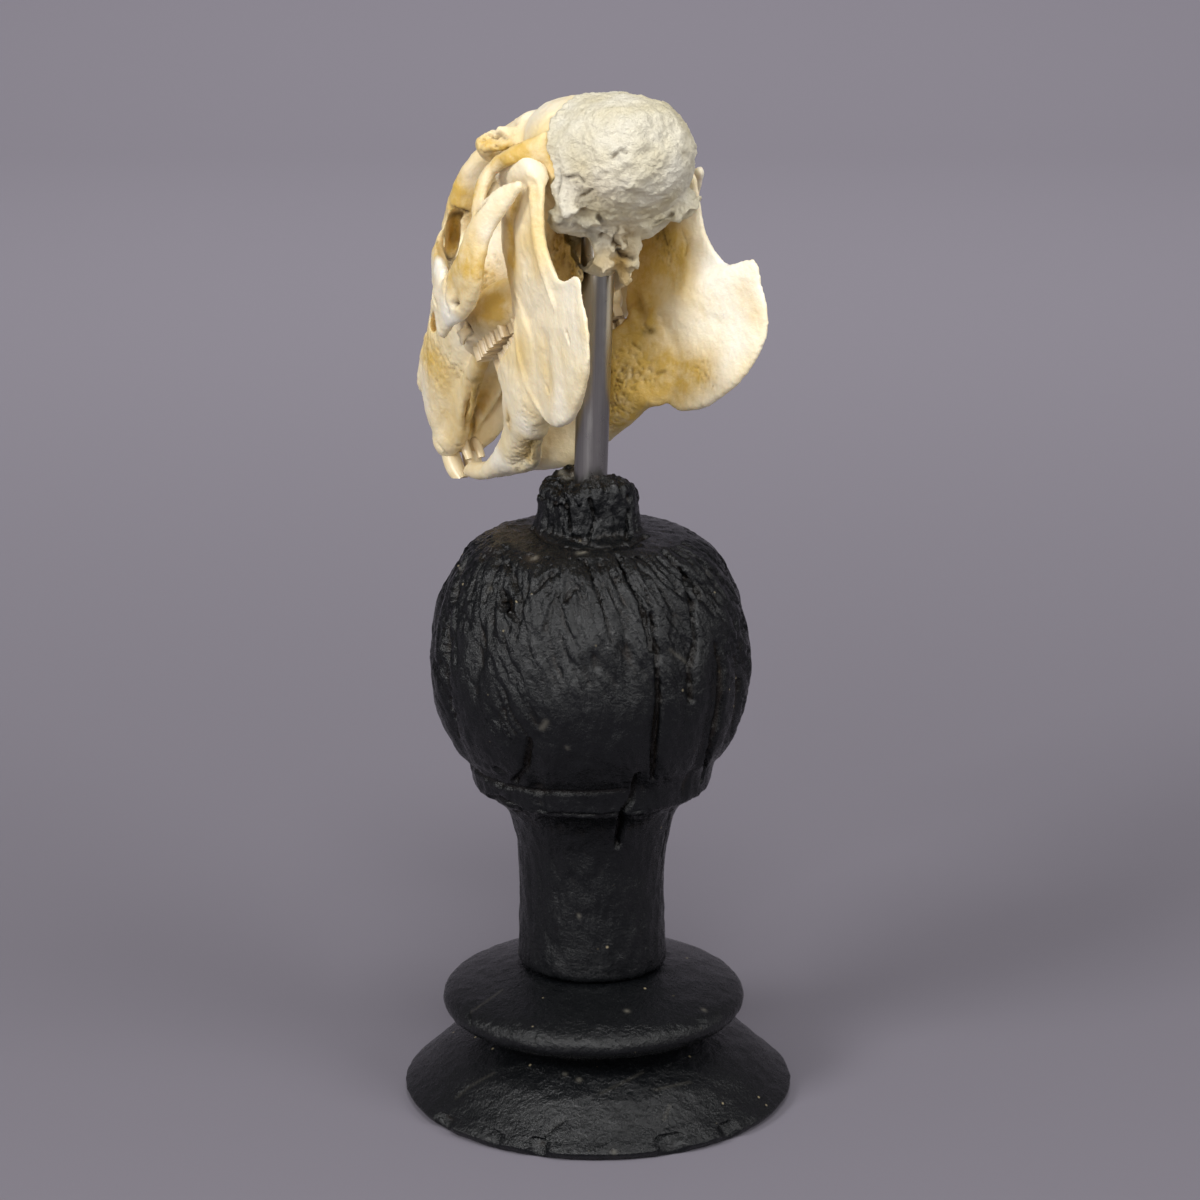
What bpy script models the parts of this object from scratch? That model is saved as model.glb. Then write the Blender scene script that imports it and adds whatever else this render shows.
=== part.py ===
"""Rabbit skull with its lower jaws, held by a plaster fill on a steel rod in a turned wooden stand.

Metres, +Z up. The origin is the centre of the stand's flat underside. The skull is
described in its own frame (millimetres: x forward from the back of the head, y to the
animal's left, z up from the chewing line), and one empty carries that frame.
"""
import math

import bmesh
import bpy
from mathutils import Euler, Matrix, Vector

MM = 0.001
GAP = 0.3                      # clearance between pieces that touch

# Where the skull frame stands: the back of the head, and how the head is turned
SKULL_AT = Vector((17.0, -23.5, 155.5))
SKULL_ROLL, SKULL_NOSE_DOWN, SKULL_HEADING = 1.0, 34.0, 125.0

# Steel rod
ROD_RADIUS = 2.75
ROD_FOOT = Vector((-1.6, 0.0, 96.0))
ROD_LENGTH = 55.0
ROD_LEAN = 1.9                 # degrees towards +X, going up
ROD_SIDES = 24

# Turned stand: radius and height of each turn of the profile, from the top down
STAND_SIDES = 36
STEM_SEAT = 22.7               # the stem stands on the foot's disc here
COLUMN_SHIFT = -0.9            # the column stands a little left of the foot's centre
COLUMN_LEAN = -0.4             # degrees
DISC_SHIFT = -0.8
COLUMN_PROFILE = (
    (6.4, 107.0), (7.8, 106.2), (8.3, 104.0), (8.7, 99.8), (9.7, 98.2),
    (15.2, 97.4), (19.6, 95.2), (21.8, 92.6), (24.4, 88.0), (26.1, 82.0),
    (26.8, 75.0), (25.6, 67.7), (23.1, 62.0), (20.9, 59.4), (20.2, 57.0),
    (19.6, 54.8), (17.6, 53.6), (14.7, 51.0), (13.3, 47.4), (12.4, 42.7),
    (12.2, 33.0), (12.6, STEM_SEAT + GAP),
)
FOOT_PROFILE = (
    (12.9, STEM_SEAT), (16.4, 21.6), (21.4, 20.0), (24.7, 18.3), (25.6, 16.3),
    (24.4, 14.6), (21.2, 13.4), (18.4, 12.5), (21.7, 10.5), (25.9, 8.0),
    (29.9, 4.2), (32.5, 2.0), (32.9, 1.2), (31.9, 0.0),
)

# Shrinkage cracks and gouged furrows down the bulb: bearing in degrees from the
# front towards +X, height of the middle, half length, depth
FURROWS = (
    (-64, 72, 12, 0.9), (-44, 84, 9, 0.8), (-24, 62, 7, 0.8), (-12, 86, 9, 0.6),
    (14, 86, 9, 1.0), (23, 66, 12, 0.9), (37, 80, 9, 0.8), (50, 68, 12, 1.1),
    (67, 72, 9, 0.8), (88, 78, 13, 0.9), (112, 70, 12, 1.0), (135, 84, 9, 0.8),
    (158, 68, 13, 1.0), (-178, 80, 11, 0.9), (-152, 70, 12, 1.0), (-128, 84, 9, 0.8),
    (-104, 68, 13, 0.9), (-84, 82, 10, 0.8),
)
FURROW_WIDTH = 4.0             # degrees

SEAT_GAP = 0.6                 # clearance between the plaster and the skull round it
JOINT_GAP = 0.6                # clearance where the jaw hangs in the skull's joint
BONE_VOXEL = 0.55
CRANIUM_FACES = 1800
JAW_FACES = 940
PLASTER_FACES = 480
JOINT_FACES = 160


def clear_scene():
    for obj in list(bpy.data.objects):
        bpy.data.objects.remove(obj, do_unlink=True)


def make_collection(name):
    collection = bpy.data.collections.new(name)
    bpy.context.scene.collection.children.link(collection)
    return collection


def make_material(name, color, roughness, metallic=0.0):
    material = bpy.data.materials.new(name)
    material.use_nodes = True
    shader = material.node_tree.nodes["Principled BSDF"]
    shader.inputs["Base Color"].default_value = (*color, 1.0)
    shader.inputs["Roughness"].default_value = roughness
    shader.inputs["Metallic"].default_value = metallic
    return material


def add_object(name, mesh, collection, material=None, parent=None):
    obj = bpy.data.objects.new(name, mesh)
    collection.objects.link(obj)
    obj.parent = parent
    if material is not None:
        mesh.materials.append(material)
    return obj


def as_cutter(obj):
    obj.hide_render = True
    obj.display_type = "WIRE"
    return obj


def cut(obj, cutter, solver="EXACT"):
    modifier = obj.modifiers.new("cut_" + cutter.name, "BOOLEAN")
    modifier.operation = "DIFFERENCE"
    modifier.solver = solver
    modifier.object = cutter


def oval(first, second, half_thick, sides=14, square=2.4, across=Vector((0, 1, 0))):
    """One ring of a loft: an oval whose long axis runs from first to second."""
    first, second = Vector(first), Vector(second)
    centre = (first + second) / 2
    half = (first - second) / 2
    side = across * half_thick
    ring = []
    for k in range(sides):
        turn = 2 * math.pi * k / sides
        c, s = math.cos(turn), math.sin(turn)
        u = math.copysign(abs(c) ** (2 / square), c)
        v = math.copysign(abs(s) ** (2 / square), s)
        ring.append(centre + half * u + side * v)
    return ring


def loft(bm, rings):
    """A closed skin through rings of equal count, capped at both ends."""
    rows = [[bm.verts.new(point * MM) for point in ring] for ring in rings]
    count = len(rows[0])
    for lower, upper in zip(rows, rows[1:]):
        for k in range(count):
            nxt = (k + 1) % count
            bm.faces.new((lower[k], lower[nxt], upper[nxt], upper[k]))
    bm.faces.new(list(reversed(rows[0])))
    bm.faces.new(rows[-1])


def blades(bm, stations, sides=14, square=2.4, across=Vector((0, 1, 0))):
    loft(bm, [oval(a, b, t, sides, square, across) for a, b, t in stations])


def ball(bm, centre, radii, divisions=2):
    place = Matrix.Translation(Vector(centre) * MM) @ Matrix.Diagonal((*(Vector(radii) * MM), 1))
    bmesh.ops.create_icosphere(bm, subdivisions=divisions, radius=1.0, matrix=place)


def tube(bm, points, radii, sides=10):
    """A round bar through points, none of it running straight across the head."""
    points = [Vector(p) for p in points]
    rings = []
    for k, point in enumerate(points):
        ahead = points[min(k + 1, len(points) - 1)] - points[max(k - 1, 0)]
        out = ahead.cross(Vector((0, 1, 0))).normalized()
        side = out.cross(ahead).normalized()
        ring = []
        for j in range(sides):
            angle = 2 * math.pi * j / sides
            ring.append(point + (out * math.cos(angle) + side * math.sin(angle)) * radii[k])
        rings.append(ring)
    loft(bm, rings)


def both_sides(stations, side):
    """Stations given for the animal's left, moved to the side wanted."""
    flip = Vector((1, side, 1))
    return [(Vector(a) * flip, Vector(b) * flip, t) for a, b, t in stations]


def finish_lumps(bm, name, side=1):
    """Close off a piece drawn for the animal's left; side -1 mirrors it across the midline."""
    bmesh.ops.scale(bm, vec=(1, side, 1), verts=bm.verts)
    for island_face in bm.faces:
        island_face.smooth = True
    bmesh.ops.recalc_face_normals(bm, faces=bm.faces)
    mesh = bpy.data.meshes.new(name)
    bm.to_mesh(mesh)
    bm.free()
    return mesh


def melted(obj, voxel):
    remesh = obj.modifiers.new("melt", "REMESH")
    remesh.mode = "VOXEL"
    remesh.voxel_size = voxel * MM


def grown_together(obj, voxel, smoothing, faces_wanted, swell=0.0):
    """Melt overlapping lumps into one skin, ease the joins, and thin out the faces."""
    melted(obj, voxel)
    smooth = obj.modifiers.new("ease", "SMOOTH")
    smooth.factor = 0.5
    smooth.iterations = smoothing
    if swell:
        grow = obj.modifiers.new("swell", "DISPLACE")
        grow.strength = swell * MM
        grow.mid_level = 0.0
        melted(obj, voxel)
    bpy.context.view_layer.update()
    seen = obj.evaluated_get(bpy.context.evaluated_depsgraph_get())
    count = len(seen.data.polygons) * 2
    thin = obj.modifiers.new("thin", "DECIMATE")
    thin.decimate_type = "COLLAPSE"
    thin.ratio = faces_wanted / count
    thin.use_collapse_triangulate = True


# Braincase and brow, as rings across the head: top and bottom on the midline, half width
BRAINCASE = (
    ((15.5, 0, 25.0), (16.5, 0, 9.5), 10.0), ((18.5, 0, 28.6), (19.0, 0, 8.2), 12.4),
    ((21.5, 0, 30.2), (21.5, 0, 8.0), 12.8), ((26.0, 0, 31.9), (25.5, 0, 9.0), 11.4),
    ((30.5, 0, 32.6), (29.0, 0, 10.0), 9.2), ((35.0, 0, 33.0), (33.5, 0, 12.0), 7.6),
)
BROW_ROOF = (
    ((29.0, 0, 32.2), (29.0, 0, 26.0), 8.0), ((34.0, 0, 33.0), (34.0, 0, 26.5), 7.6),
    ((38.0, 0, 33.2), (38.0, 0, 27.5), 8.8), ((43.0, 0, 32.6), (43.0, 0, 27.5), 10.2),
    ((47.5, 0, 31.8), (47.5, 0, 25.0), 10.8), ((53.0, 0, 30.3), (53.0, 0, 21.0), 10.6),
    ((58.0, 0, 28.4), (58.0, 0, 18.0), 10.0),
)
ORBIT_WALL = (
    ((30.0, 0, 28.0), (29.0, 0, 10.0), 7.6), ((36.0, 0, 30.0), (34.5, 0, 9.0), 5.6),
    ((43.0, 0, 30.0), (41.5, 0, 9.0), 5.0), ((50.0, 0, 28.0), (49.0, 0, 7.0), 7.2),
    ((56.0, 0, 26.0), (56.0, 0, 4.0), 10.2),
)
SNOUT = (
    ((54.0, 0, 30.0), (54.0, 0, 7.0), 10.6), ((60.0, 0, 27.6), (60.0, 0, 4.6), 10.8),
    ((66.0, 0, 24.8), (66.0, 0, 3.0), 9.4), ((72.0, 0, 21.6), (72.0, 0, 1.8), 8.0),
    ((78.0, 0, 17.8), (78.0, 0, 0.0), 7.0), ((83.0, 0, 14.6), (83.0, 0, -2.0), 6.0),
    ((87.0, 0, 11.8), (87.0, 0, -3.4), 5.0), ((89.2, 0, 9.0), (89.2, 0, -3.6), 3.8),
)
NASAL_TIP = (
    ((79.0, 0, 17.0), (79.0, 0, 13.0), 5.8), ((84.0, 0, 13.9), (84.0, 0, 10.8), 5.2),
    ((88.0, 0, 11.4), (88.0, 0, 8.8), 4.3), ((90.2, 0, 9.9), (90.2, 0, 8.2), 3.2),
)
# The ridge that carries the incisor sockets, one each side of the palate's slits
PREMAX_RIDGE = (
    ((58.0, 8.6, 5.0), (58.0, 8.6, 1.6), 1.6), ((64.0, 7.2, 4.2), (64.0, 7.2, 0.8), 1.5),
    ((70.0, 5.8, 4.0), (70.0, 5.8, -0.8), 1.5), ((76.0, 4.4, 3.0), (76.0, 4.4, -2.4), 1.5),
    ((82.0, 3.1, 2.0), (82.0, 3.1, -4.2), 1.7), ((87.0, 2.6, 1.0), (87.4, 2.6, -4.4), 2.1),
    ((89.6, 2.3, 1.6), (89.8, 2.3, -3.2), 1.8),
)
VOMER = (
    ((62.0, 0, 4.0), (62.0, 0, 1.8), 0.7), ((68.0, 0, 4.0), (68.0, 0, 0.2), 0.7),
    ((76.0, 0, 3.0), (76.0, 0, -1.6), 0.7), ((84.0, 0, 1.0), (84.0, 0, -3.4), 0.8),
)
# Cheek: the alveolar process with the tooth row, the palate bridge and the sphenoid
CHEEK_BLOCK = (
    ((42.4, 8.9, 8.0), (42.4, 8.9, 3.0), 1.3), ((44.5, 9.4, 9.6), (44.5, 9.4, 2.2), 2.3),
    ((48.0, 10.2, 10.0), (48.0, 10.2, 2.2), 3.3), ((52.0, 10.2, 10.0), (52.0, 10.2, 2.2), 3.4),
    ((57.0, 9.8, 11.0), (57.0, 9.8, 2.4), 3.0), ((60.5, 9.2, 11.0), (60.5, 9.2, 3.2), 2.2),
)
PALATE = (
    ((45.5, 0, 4.2), (45.5, 0, 2.4), 8.0), ((50.0, 0, 4.4), (50.0, 0, 2.2), 8.0),
    ((55.0, 0, 4.6), (55.0, 0, 2.4), 8.0), ((60.0, 0, 5.0), (60.0, 0, 3.0), 8.0),
)
PTERYGOID = (
    ((29.5, 4.4, 12.0), (31.0, 4.6, 2.4), 1.0), ((33.0, 4.6, 12.5), (33.5, 4.8, 1.4), 1.0),
    ((37.0, 4.8, 12.0), (37.0, 5.2, 2.2), 1.0), ((41.0, 6.2, 8.0), (41.0, 6.2, 2.4), 1.2),
    ((45.5, 7.0, 6.0), (45.5, 7.0, 2.6), 1.6),
)
# Zygomatic arch, from its free rear end to its forward tip: upper edge, lower edge
ARCH = (
    ((20.9, 17.4, 16.0), (20.9, 17.4, 14.4), 0.7), ((25.8, 18.6, 17.1), (25.4, 18.6, 12.7), 1.0),
    ((30.2, 19.8, 16.2), (30.3, 19.8, 10.8), 1.1), ((33.6, 20.4, 14.8), (33.2, 20.4, 7.9), 1.2),
    ((37.6, 20.8, 12.8), (36.2, 20.5, 5.2), 1.4), ((41.6, 20.3, 11.8), (40.4, 20.0, 3.6), 1.5),
    ((45.8, 19.7, 11.4), (45.0, 19.4, 3.4), 1.5), ((50.0, 18.8, 11.8), (50.0, 18.8, 4.2), 1.4),
    ((53.2, 18.0, 12.4), (53.8, 18.0, 4.4), 1.2), ((55.2, 17.6, 8.0), (55.2, 18.0, 4.2), 0.7),
)
ARCH_ROOT = (
    ((46.4, 19.3, 12.6), (53.4, 18.0, 8.4), 1.3), ((50.4, 16.6, 17.6), (57.4, 14.8, 11.4), 1.5),
    ((53.8, 13.6, 22.0), (61.0, 12.0, 12.4), 1.6), ((55.4, 9.6, 25.4), (64.0, 8.4, 14.0), 1.6),
)
SQUAMOSAL_ARM = (
    ((17.5, 11.8, 22.4), (19.0, 12.2, 17.6), 1.7), ((22.0, 14.4, 22.8), (22.4, 14.6, 19.4), 1.4),
    ((26.8, 16.4, 22.8), (25.8, 16.4, 20.2), 1.1), ((30.2, 18.0, 21.2), (28.0, 17.9, 19.6), 1.0),
    ((32.2, 19.2, 18.2), (29.6, 19.1, 17.0), 0.9), ((32.8, 19.9, 15.4), (30.6, 19.8, 14.8), 0.9),
)
BROKEN_BROW = (
    ((29.4, 8.2, 29.4), (29.4, 8.2, 25.2), 1.2), ((31.8, 10.8, 30.6), (31.6, 10.4, 26.2), 1.4),
    ((35.0, 12.6, 30.6), (35.2, 12.0, 27.0), 1.3), ((38.8, 8.6, 30.6), (39.0, 8.4, 27.4), 2.2),
)
WHOLE_BROW = (
    ((26.0, 12.6, 27.8), (26.4, 12.4, 26.8), 0.6), ((29.6, 12.8, 29.4), (30.0, 12.6, 28.0), 1.1),
    ((34.0, 11.8, 31.0), (34.4, 11.2, 28.8), 2.4), ((40.0, 11.6, 31.6), (40.4, 11.2, 29.2), 3.0),
    ((45.0, 12.4, 30.8), (45.2, 12.2, 29.0), 1.5), ((47.8, 12.6, 29.8), (47.9, 12.4, 28.8), 0.6),
)

# Plaster: the rebuilt back of the head, the plug inside it and the lump round the rod
PLASTER_DOME = (
    ((4.4, 0.4, 17.6), (6.2, 0.4, 10.4), 4.6), ((6.6, 0.4, 20.6), (8.4, 0.4, 8.2), 7.4),
    ((9.6, 0.3, 23.2), (11.4, 0.3, 7.0), 9.5), ((13.2, 0.2, 25.8), (15.0, 0.2, 6.4), 11.5),
    ((17.4, 0.1, 28.4), (19.6, 0.1, 6.6), 12.8),
)
PLASTER_PLUG = (
    ((15.0, 0, 25.6), (17.0, 0, 7.0), 10.8), ((21.0, 0, 27.8), (24.0, 0, 7.2), 10.8),
    ((27.0, 0, 28.6), (28.0, 0, 11.0), 8.2),
)
PLASTER_LUMPS = (
    ((24.0, 6.5, 10.2), (4.0, 5.2, 3.0)), ((27.0, 1.0, 11.0), (5.6, 5.6, 6.0)),
    ((29.2, 1.2, 6.6), (4.6, 4.5, 4.4)), ((28.2, -2.4, 5.0), (2.6, 2.4, 3.4)),
    ((24.0, -4.6, 8.6), (4.4, 5.6, 2.8)), ((18.6, -9.0, 8.2), (3.0, 3.2, 2.4)),
    ((19.8, 10.4, 12.4), (2.6, 2.6, 3.4)),
)

# Lower jaw, left side. Ramus from the condyle's neck down: front edge, rear edge
RAMUS = (
    ((32.6, 12.9, 20.4), (20.6, 13.8, 17.6), 1.6), ((33.6, 13.0, 18.0), (19.6, 14.6, 13.6), 1.2),
    ((35.6, 13.0, 15.2), (20.8, 15.1, 10.6), 1.1), ((37.6, 12.9, 12.4), (22.2, 15.4, 7.4), 1.1),
    ((39.4, 12.2, 9.8), (22.9, 15.5, 4.2), 1.1), ((41.4, 11.5, 6.2), (22.2, 15.9, 0.6), 1.1),
    ((43.6, 11.2, 2.8), (20.4, 16.3, -2.2), 0.9), ((44.4, 11.0, -1.0), (15.2, 16.9, -3.8), 0.9),
    ((44.8, 11.4, -5.0), (15.8, 17.2, -8.0), 0.9), ((44.8, 11.6, -9.0), (16.8, 17.3, -12.4), 0.9),
    ((44.2, 11.8, -13.0), (19.4, 17.0, -16.2), 1.0), ((42.8, 12.1, -16.4), (25.0, 15.8, -19.2), 1.1),
    ((41.0, 12.3, -19.0), (31.6, 14.2, -20.8), 1.0),
)
CONDYLE = (
    ((19.6, 14.2, 16.8), (19.8, 14.3, 14.0), 1.2), ((21.0, 13.8, 20.0), (21.4, 13.9, 15.4), 2.0),
    ((25.6, 13.4, 21.8), (25.6, 13.4, 17.0), 2.1), ((30.0, 13.2, 22.8), (29.6, 13.2, 19.0), 1.7),
    ((32.8, 13.1, 22.2), (32.5, 13.1, 20.6), 0.9),
)
BODY = (
    ((38.0, 12.6, 6.0), (37.0, 12.8, -12.0), 1.1), ((42.4, 11.2, 1.2), (41.6, 11.2, -14.4), 1.8),
    ((46.0, 9.5, -1.4), (46.0, 9.8, -15.4), 3.2), ((50.4, 8.6, -2.6), (50.4, 8.7, -16.0), 3.4),
    ((54.6, 7.6, -3.2), (55.0, 7.4, -16.6), 3.2), ((57.8, 6.6, -3.8), (58.4, 6.2, -17.2), 2.8),
    ((60.8, 5.3, -6.4), (61.0, 4.9, -17.6), 2.8), ((64.6, 4.2, -8.4), (64.2, 3.8, -17.2), 3.0),
    ((68.6, 3.2, -9.0), (68.4, 3.0, -15.8), 2.7), ((73.0, 2.6, -9.6), (73.0, 2.5, -14.0), 2.2),
    ((77.6, 2.1, -9.9), (77.6, 2.1, -12.8), 1.7), ((80.0, 2.0, -9.8), (80.0, 2.0, -12.2), 1.4),
)
# Lower tooth sockets: the raised crest the teeth stand in
SOCKET_CREST = (
    ((42.6, 11.0, -0.2), (42.6, 10.8, -8.0), 1.4), ((45.5, 9.7, -0.8), (45.5, 9.7, -8.0), 2.6),
    ((49.0, 9.0, -1.0), (49.0, 9.0, -8.0), 2.7), ((52.6, 8.3, -1.2), (52.6, 8.3, -8.0), 2.6),
    ((55.8, 7.4, -1.5), (55.8, 7.4, -8.0), 2.3), ((57.6, 6.9, -3.0), (57.6, 6.9, -8.0), 1.6),
)
MASSETER_RIM = ((41.5, 12.2, 1.0), (43.2, 12.4, -4.0), (43.9, 12.6, -9.6), (43.0, 12.8, -14.6),
                (40.4, 13.2, -19.0))
REAR_RIDGE = ((21.6, 14.4, 15.6), (22.8, 15.2, 11.0), (24.4, 15.6, 5.6), (25.0, 15.8, 0.0),
              (25.6, 15.9, -5.0))

# Teeth
UPPER_ROW = ((56.0, 10.3, 1.35, 1.6), (53.4, 10.2, 1.2, 2.0), (50.9, 10.2, 1.25, 2.1),
             (48.3, 10.1, 1.25, 2.0), (45.8, 9.4, 1.15, 1.55), (43.9, 8.9, 0.6, 0.9))
LOWER_ROW = ((55.5, 7.5, 1.5, 1.55), (52.4, 8.2, 1.4, 1.75), (49.4, 8.8, 1.4, 1.75),
             (46.6, 9.5, 1.2, 1.45), (44.6, 9.9, 0.7, 0.95))
UPPER_CHEWING, LOWER_CHEWING = 0.45, 0.1
UPPER_ROOT, LOWER_ROOT = 5.6, -5.6
INCISOR_UP = ((83.0, 2.4, 5.6), (86.4, 2.3, 1.8), (88.2, 2.1, -2.6), (88.6, 1.9, -6.2),
              (87.7, 1.8, -9.0))
INCISOR_UP_R = (1.3, 1.4, 1.4, 1.4, 0.75)
PEG = ((84.6, 1.35, -1.0), (84.5, 1.3, -4.0), (84.4, 1.2, -6.9))
PEG_R = (0.7, 0.8, 0.6)
INCISOR_LOW = ((72.0, 1.95, -11.9), (77.0, 1.9, -11.2), (81.5, 1.8, -9.8), (85.2, 1.7, -7.9))
INCISOR_LOW_R = (1.2, 1.25, 1.35, 0.7)


def cranium_lumps():
    bm = bmesh.new()
    for rings, square in ((BRAINCASE, 2.2), (BROW_ROOF, 2.8), (ORBIT_WALL, 2.2), (SNOUT, 2.6),
                          (NASAL_TIP, 2.4), (VOMER, 2.2), (PALATE, 3.0)):
        blades(bm, rings, 20, square)
    for side in (1, -1):
        for rings in (PREMAX_RIDGE, CHEEK_BLOCK, PTERYGOID, ARCH, ARCH_ROOT, SQUAMOSAL_ARM):
            blades(bm, both_sides(rings, side))
    blades(bm, BROKEN_BROW)
    blades(bm, both_sides(WHOLE_BROW, -1))
    return finish_lumps(bm, "cranium")


def plaster_lumps():
    bm = bmesh.new()
    blades(bm, PLASTER_DOME, 20, 2.2)
    blades(bm, PLASTER_PLUG, 20, 2.2)
    for centre, radii in PLASTER_LUMPS:
        ball(bm, centre, radii)
    return finish_lumps(bm, "plaster_fill")


def jaw_lumps(side):
    bm = bmesh.new()
    blades(bm, RAMUS)
    blades(bm, CONDYLE)
    blades(bm, BODY, 16, 2.3)
    blades(bm, SOCKET_CREST, 14, 3.6)
    tube(bm, MASSETER_RIM, (0.5, 0.8, 0.9, 0.8, 0.6))
    tube(bm, REAR_RIDGE, (1.2, 1.1, 1.1, 1.0, 0.6))
    return finish_lumps(bm, "mandible", side)


def tooth_mesh(name, x, y, half_long, half_wide, low, high, side):
    """A cheek tooth: an upright column with a rounded oblong section."""
    bm = bmesh.new()
    rings = []
    for z in (low, high):
        rings.append(oval((x - half_long, y, z), (x + half_long, y, z), half_wide, 8, 3.0))
    loft(bm, rings)
    return finish_lumps(bm, name, side)


def socket_mesh(row, low, high, side):
    """One long trough that holds a tooth row with a clearance all round."""
    bm = bmesh.new()
    rings = []
    for k, (x, y, half_long, half_wide) in enumerate(row):
        front = half_long + (GAP if k == 0 else 0)
        rear = half_long + (GAP if k == len(row) - 1 else 0)
        width = half_wide + GAP
        corners = ((-width, low), (width, low), (width, high), (-width, high))
        for reach in (front, -rear):
            rings.append([Vector((x + reach, y + dy, z)) for dy, z in corners])
    loft(bm, rings)
    return finish_lumps(bm, "socket", side)


def joint_room(side):
    """The jaw's upper end swollen by the clearance, to hollow the skull's joint with."""
    bm = bmesh.new()
    for stations in (CONDYLE, RAMUS[:4]):
        swollen = []
        for first, second, half_thick in stations:
            first, second = Vector(first), Vector(second)
            reach = (first - second).normalized() * JOINT_GAP
            swollen.append((first + reach, second - reach, half_thick + JOINT_GAP))
        blades(bm, swollen)
    return finish_lumps(bm, "joint_room", side)


def curved_tooth(name, points, radii, side, extra=0.0):
    """A curved tooth, or its socket when extra adds a clearance round it and past its root."""
    points = [Vector(p) for p in points]
    points[0] += (points[0] - points[1]).normalized() * extra
    bm = bmesh.new()
    tube(bm, points, [r + extra for r in radii], 8)
    return finish_lumps(bm, name, side)


def turned(name, profile, collection, material):
    """A profile spun round Z, then turned into a mesh that can be carved."""
    bm = bmesh.new()
    verts = [bm.verts.new((0, 0, profile[0][1] * MM))]
    verts += [bm.verts.new((r * MM, 0, z * MM)) for r, z in profile]
    verts.append(bm.verts.new((0, 0, profile[-1][1] * MM)))
    for a, b in zip(verts, verts[1:]):
        bm.edges.new((a, b))
    mesh = bpy.data.meshes.new(name + "_profile")
    bm.to_mesh(mesh)
    bm.free()
    blank = add_object(name + "_blank", mesh, collection)
    screw = blank.modifiers.new("turn", "SCREW")
    screw.axis = "Z"
    screw.steps = STAND_SIDES
    screw.render_steps = STAND_SIDES
    screw.use_merge_vertices = True
    screw.merge_threshold = 0.00005
    bpy.context.view_layer.update()
    seen = blank.evaluated_get(bpy.context.evaluated_depsgraph_get())
    turned_mesh = bpy.data.meshes.new_from_object(seen)
    turned_mesh.name = name
    bpy.data.objects.remove(blank, do_unlink=True)
    return add_object(name, turned_mesh, collection, material)


def furrow_depth(bearing, height):
    depth = 0.0
    for angle, middle, half, cut_depth in FURROWS:
        off = (bearing - angle + 180) % 360 - 180
        along = (height - middle) / half
        depth += cut_depth * math.exp(-(off / FURROW_WIDTH) ** 2) * math.exp(-along ** 4)
    return depth


def carve_column(obj):
    """Gouge the bulb, break the neck's top edge, and lean the column a little."""
    lean = math.tan(math.radians(COLUMN_LEAN))
    for vert in obj.data.vertices:
        x, y, z = (c / MM for c in vert.co)
        radius = math.hypot(x, y)
        bearing = math.degrees(math.atan2(x, -y))
        if radius > 1.0:
            if 55.0 < z < 97.0:
                shrink = furrow_depth(bearing, z)
                shrink += 0.25 * math.sin(math.radians(bearing * 7)) * math.sin(z * 0.35)
            elif z > 97.8:
                shrink = 0.3 * math.sin(math.radians(bearing * 5)) + 0.2
            else:
                shrink = 0.12 * math.sin(math.radians(bearing * 3 + z * 6))
            scale = (radius - shrink) / radius
            x, y = x * scale, y * scale
            if z > 105.0:
                z += 0.9 * math.sin(math.radians(bearing * 2 + 40)) - 0.5
        x += COLUMN_SHIFT + lean * (z - STEM_SEAT)
        vert.co = Vector((x, y, z)) * MM


def carve_foot(obj):
    """Set the disc off centre and chip the rim, leaving the underside flat."""
    for vert in obj.data.vertices:
        x, y, z = (c / MM for c in vert.co)
        radius = math.hypot(x, y)
        bearing = math.degrees(math.atan2(x, -y))
        if radius > 31.0:
            chip = max(0.0, math.sin(math.radians(bearing * 5 + 20))) ** 4
            chip += max(0.0, math.sin(math.radians(bearing * 11 + 70))) ** 6
            scale = (radius - 0.5 * chip) / radius
            x, y = x * scale, y * scale
        x += DISC_SHIFT * min(1.0, max(0.0, (z - 9.0) / 4.0))
        vert.co = Vector((x, y, z)) * MM


def rod_mesh(name, radius, length, sides):
    bm = bmesh.new()
    bmesh.ops.create_cone(bm, cap_ends=True, segments=sides, radius1=radius * MM,
                          radius2=radius * MM, depth=length * MM,
                          matrix=Matrix.Translation((0, 0, length * MM / 2)))
    mesh = bpy.data.meshes.new(name)
    bm.to_mesh(mesh)
    bm.free()
    return mesh


def stand_rod(obj):
    obj.location = ROD_FOOT * MM
    obj.rotation_euler = Euler((0, math.radians(ROD_LEAN), 0))


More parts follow.
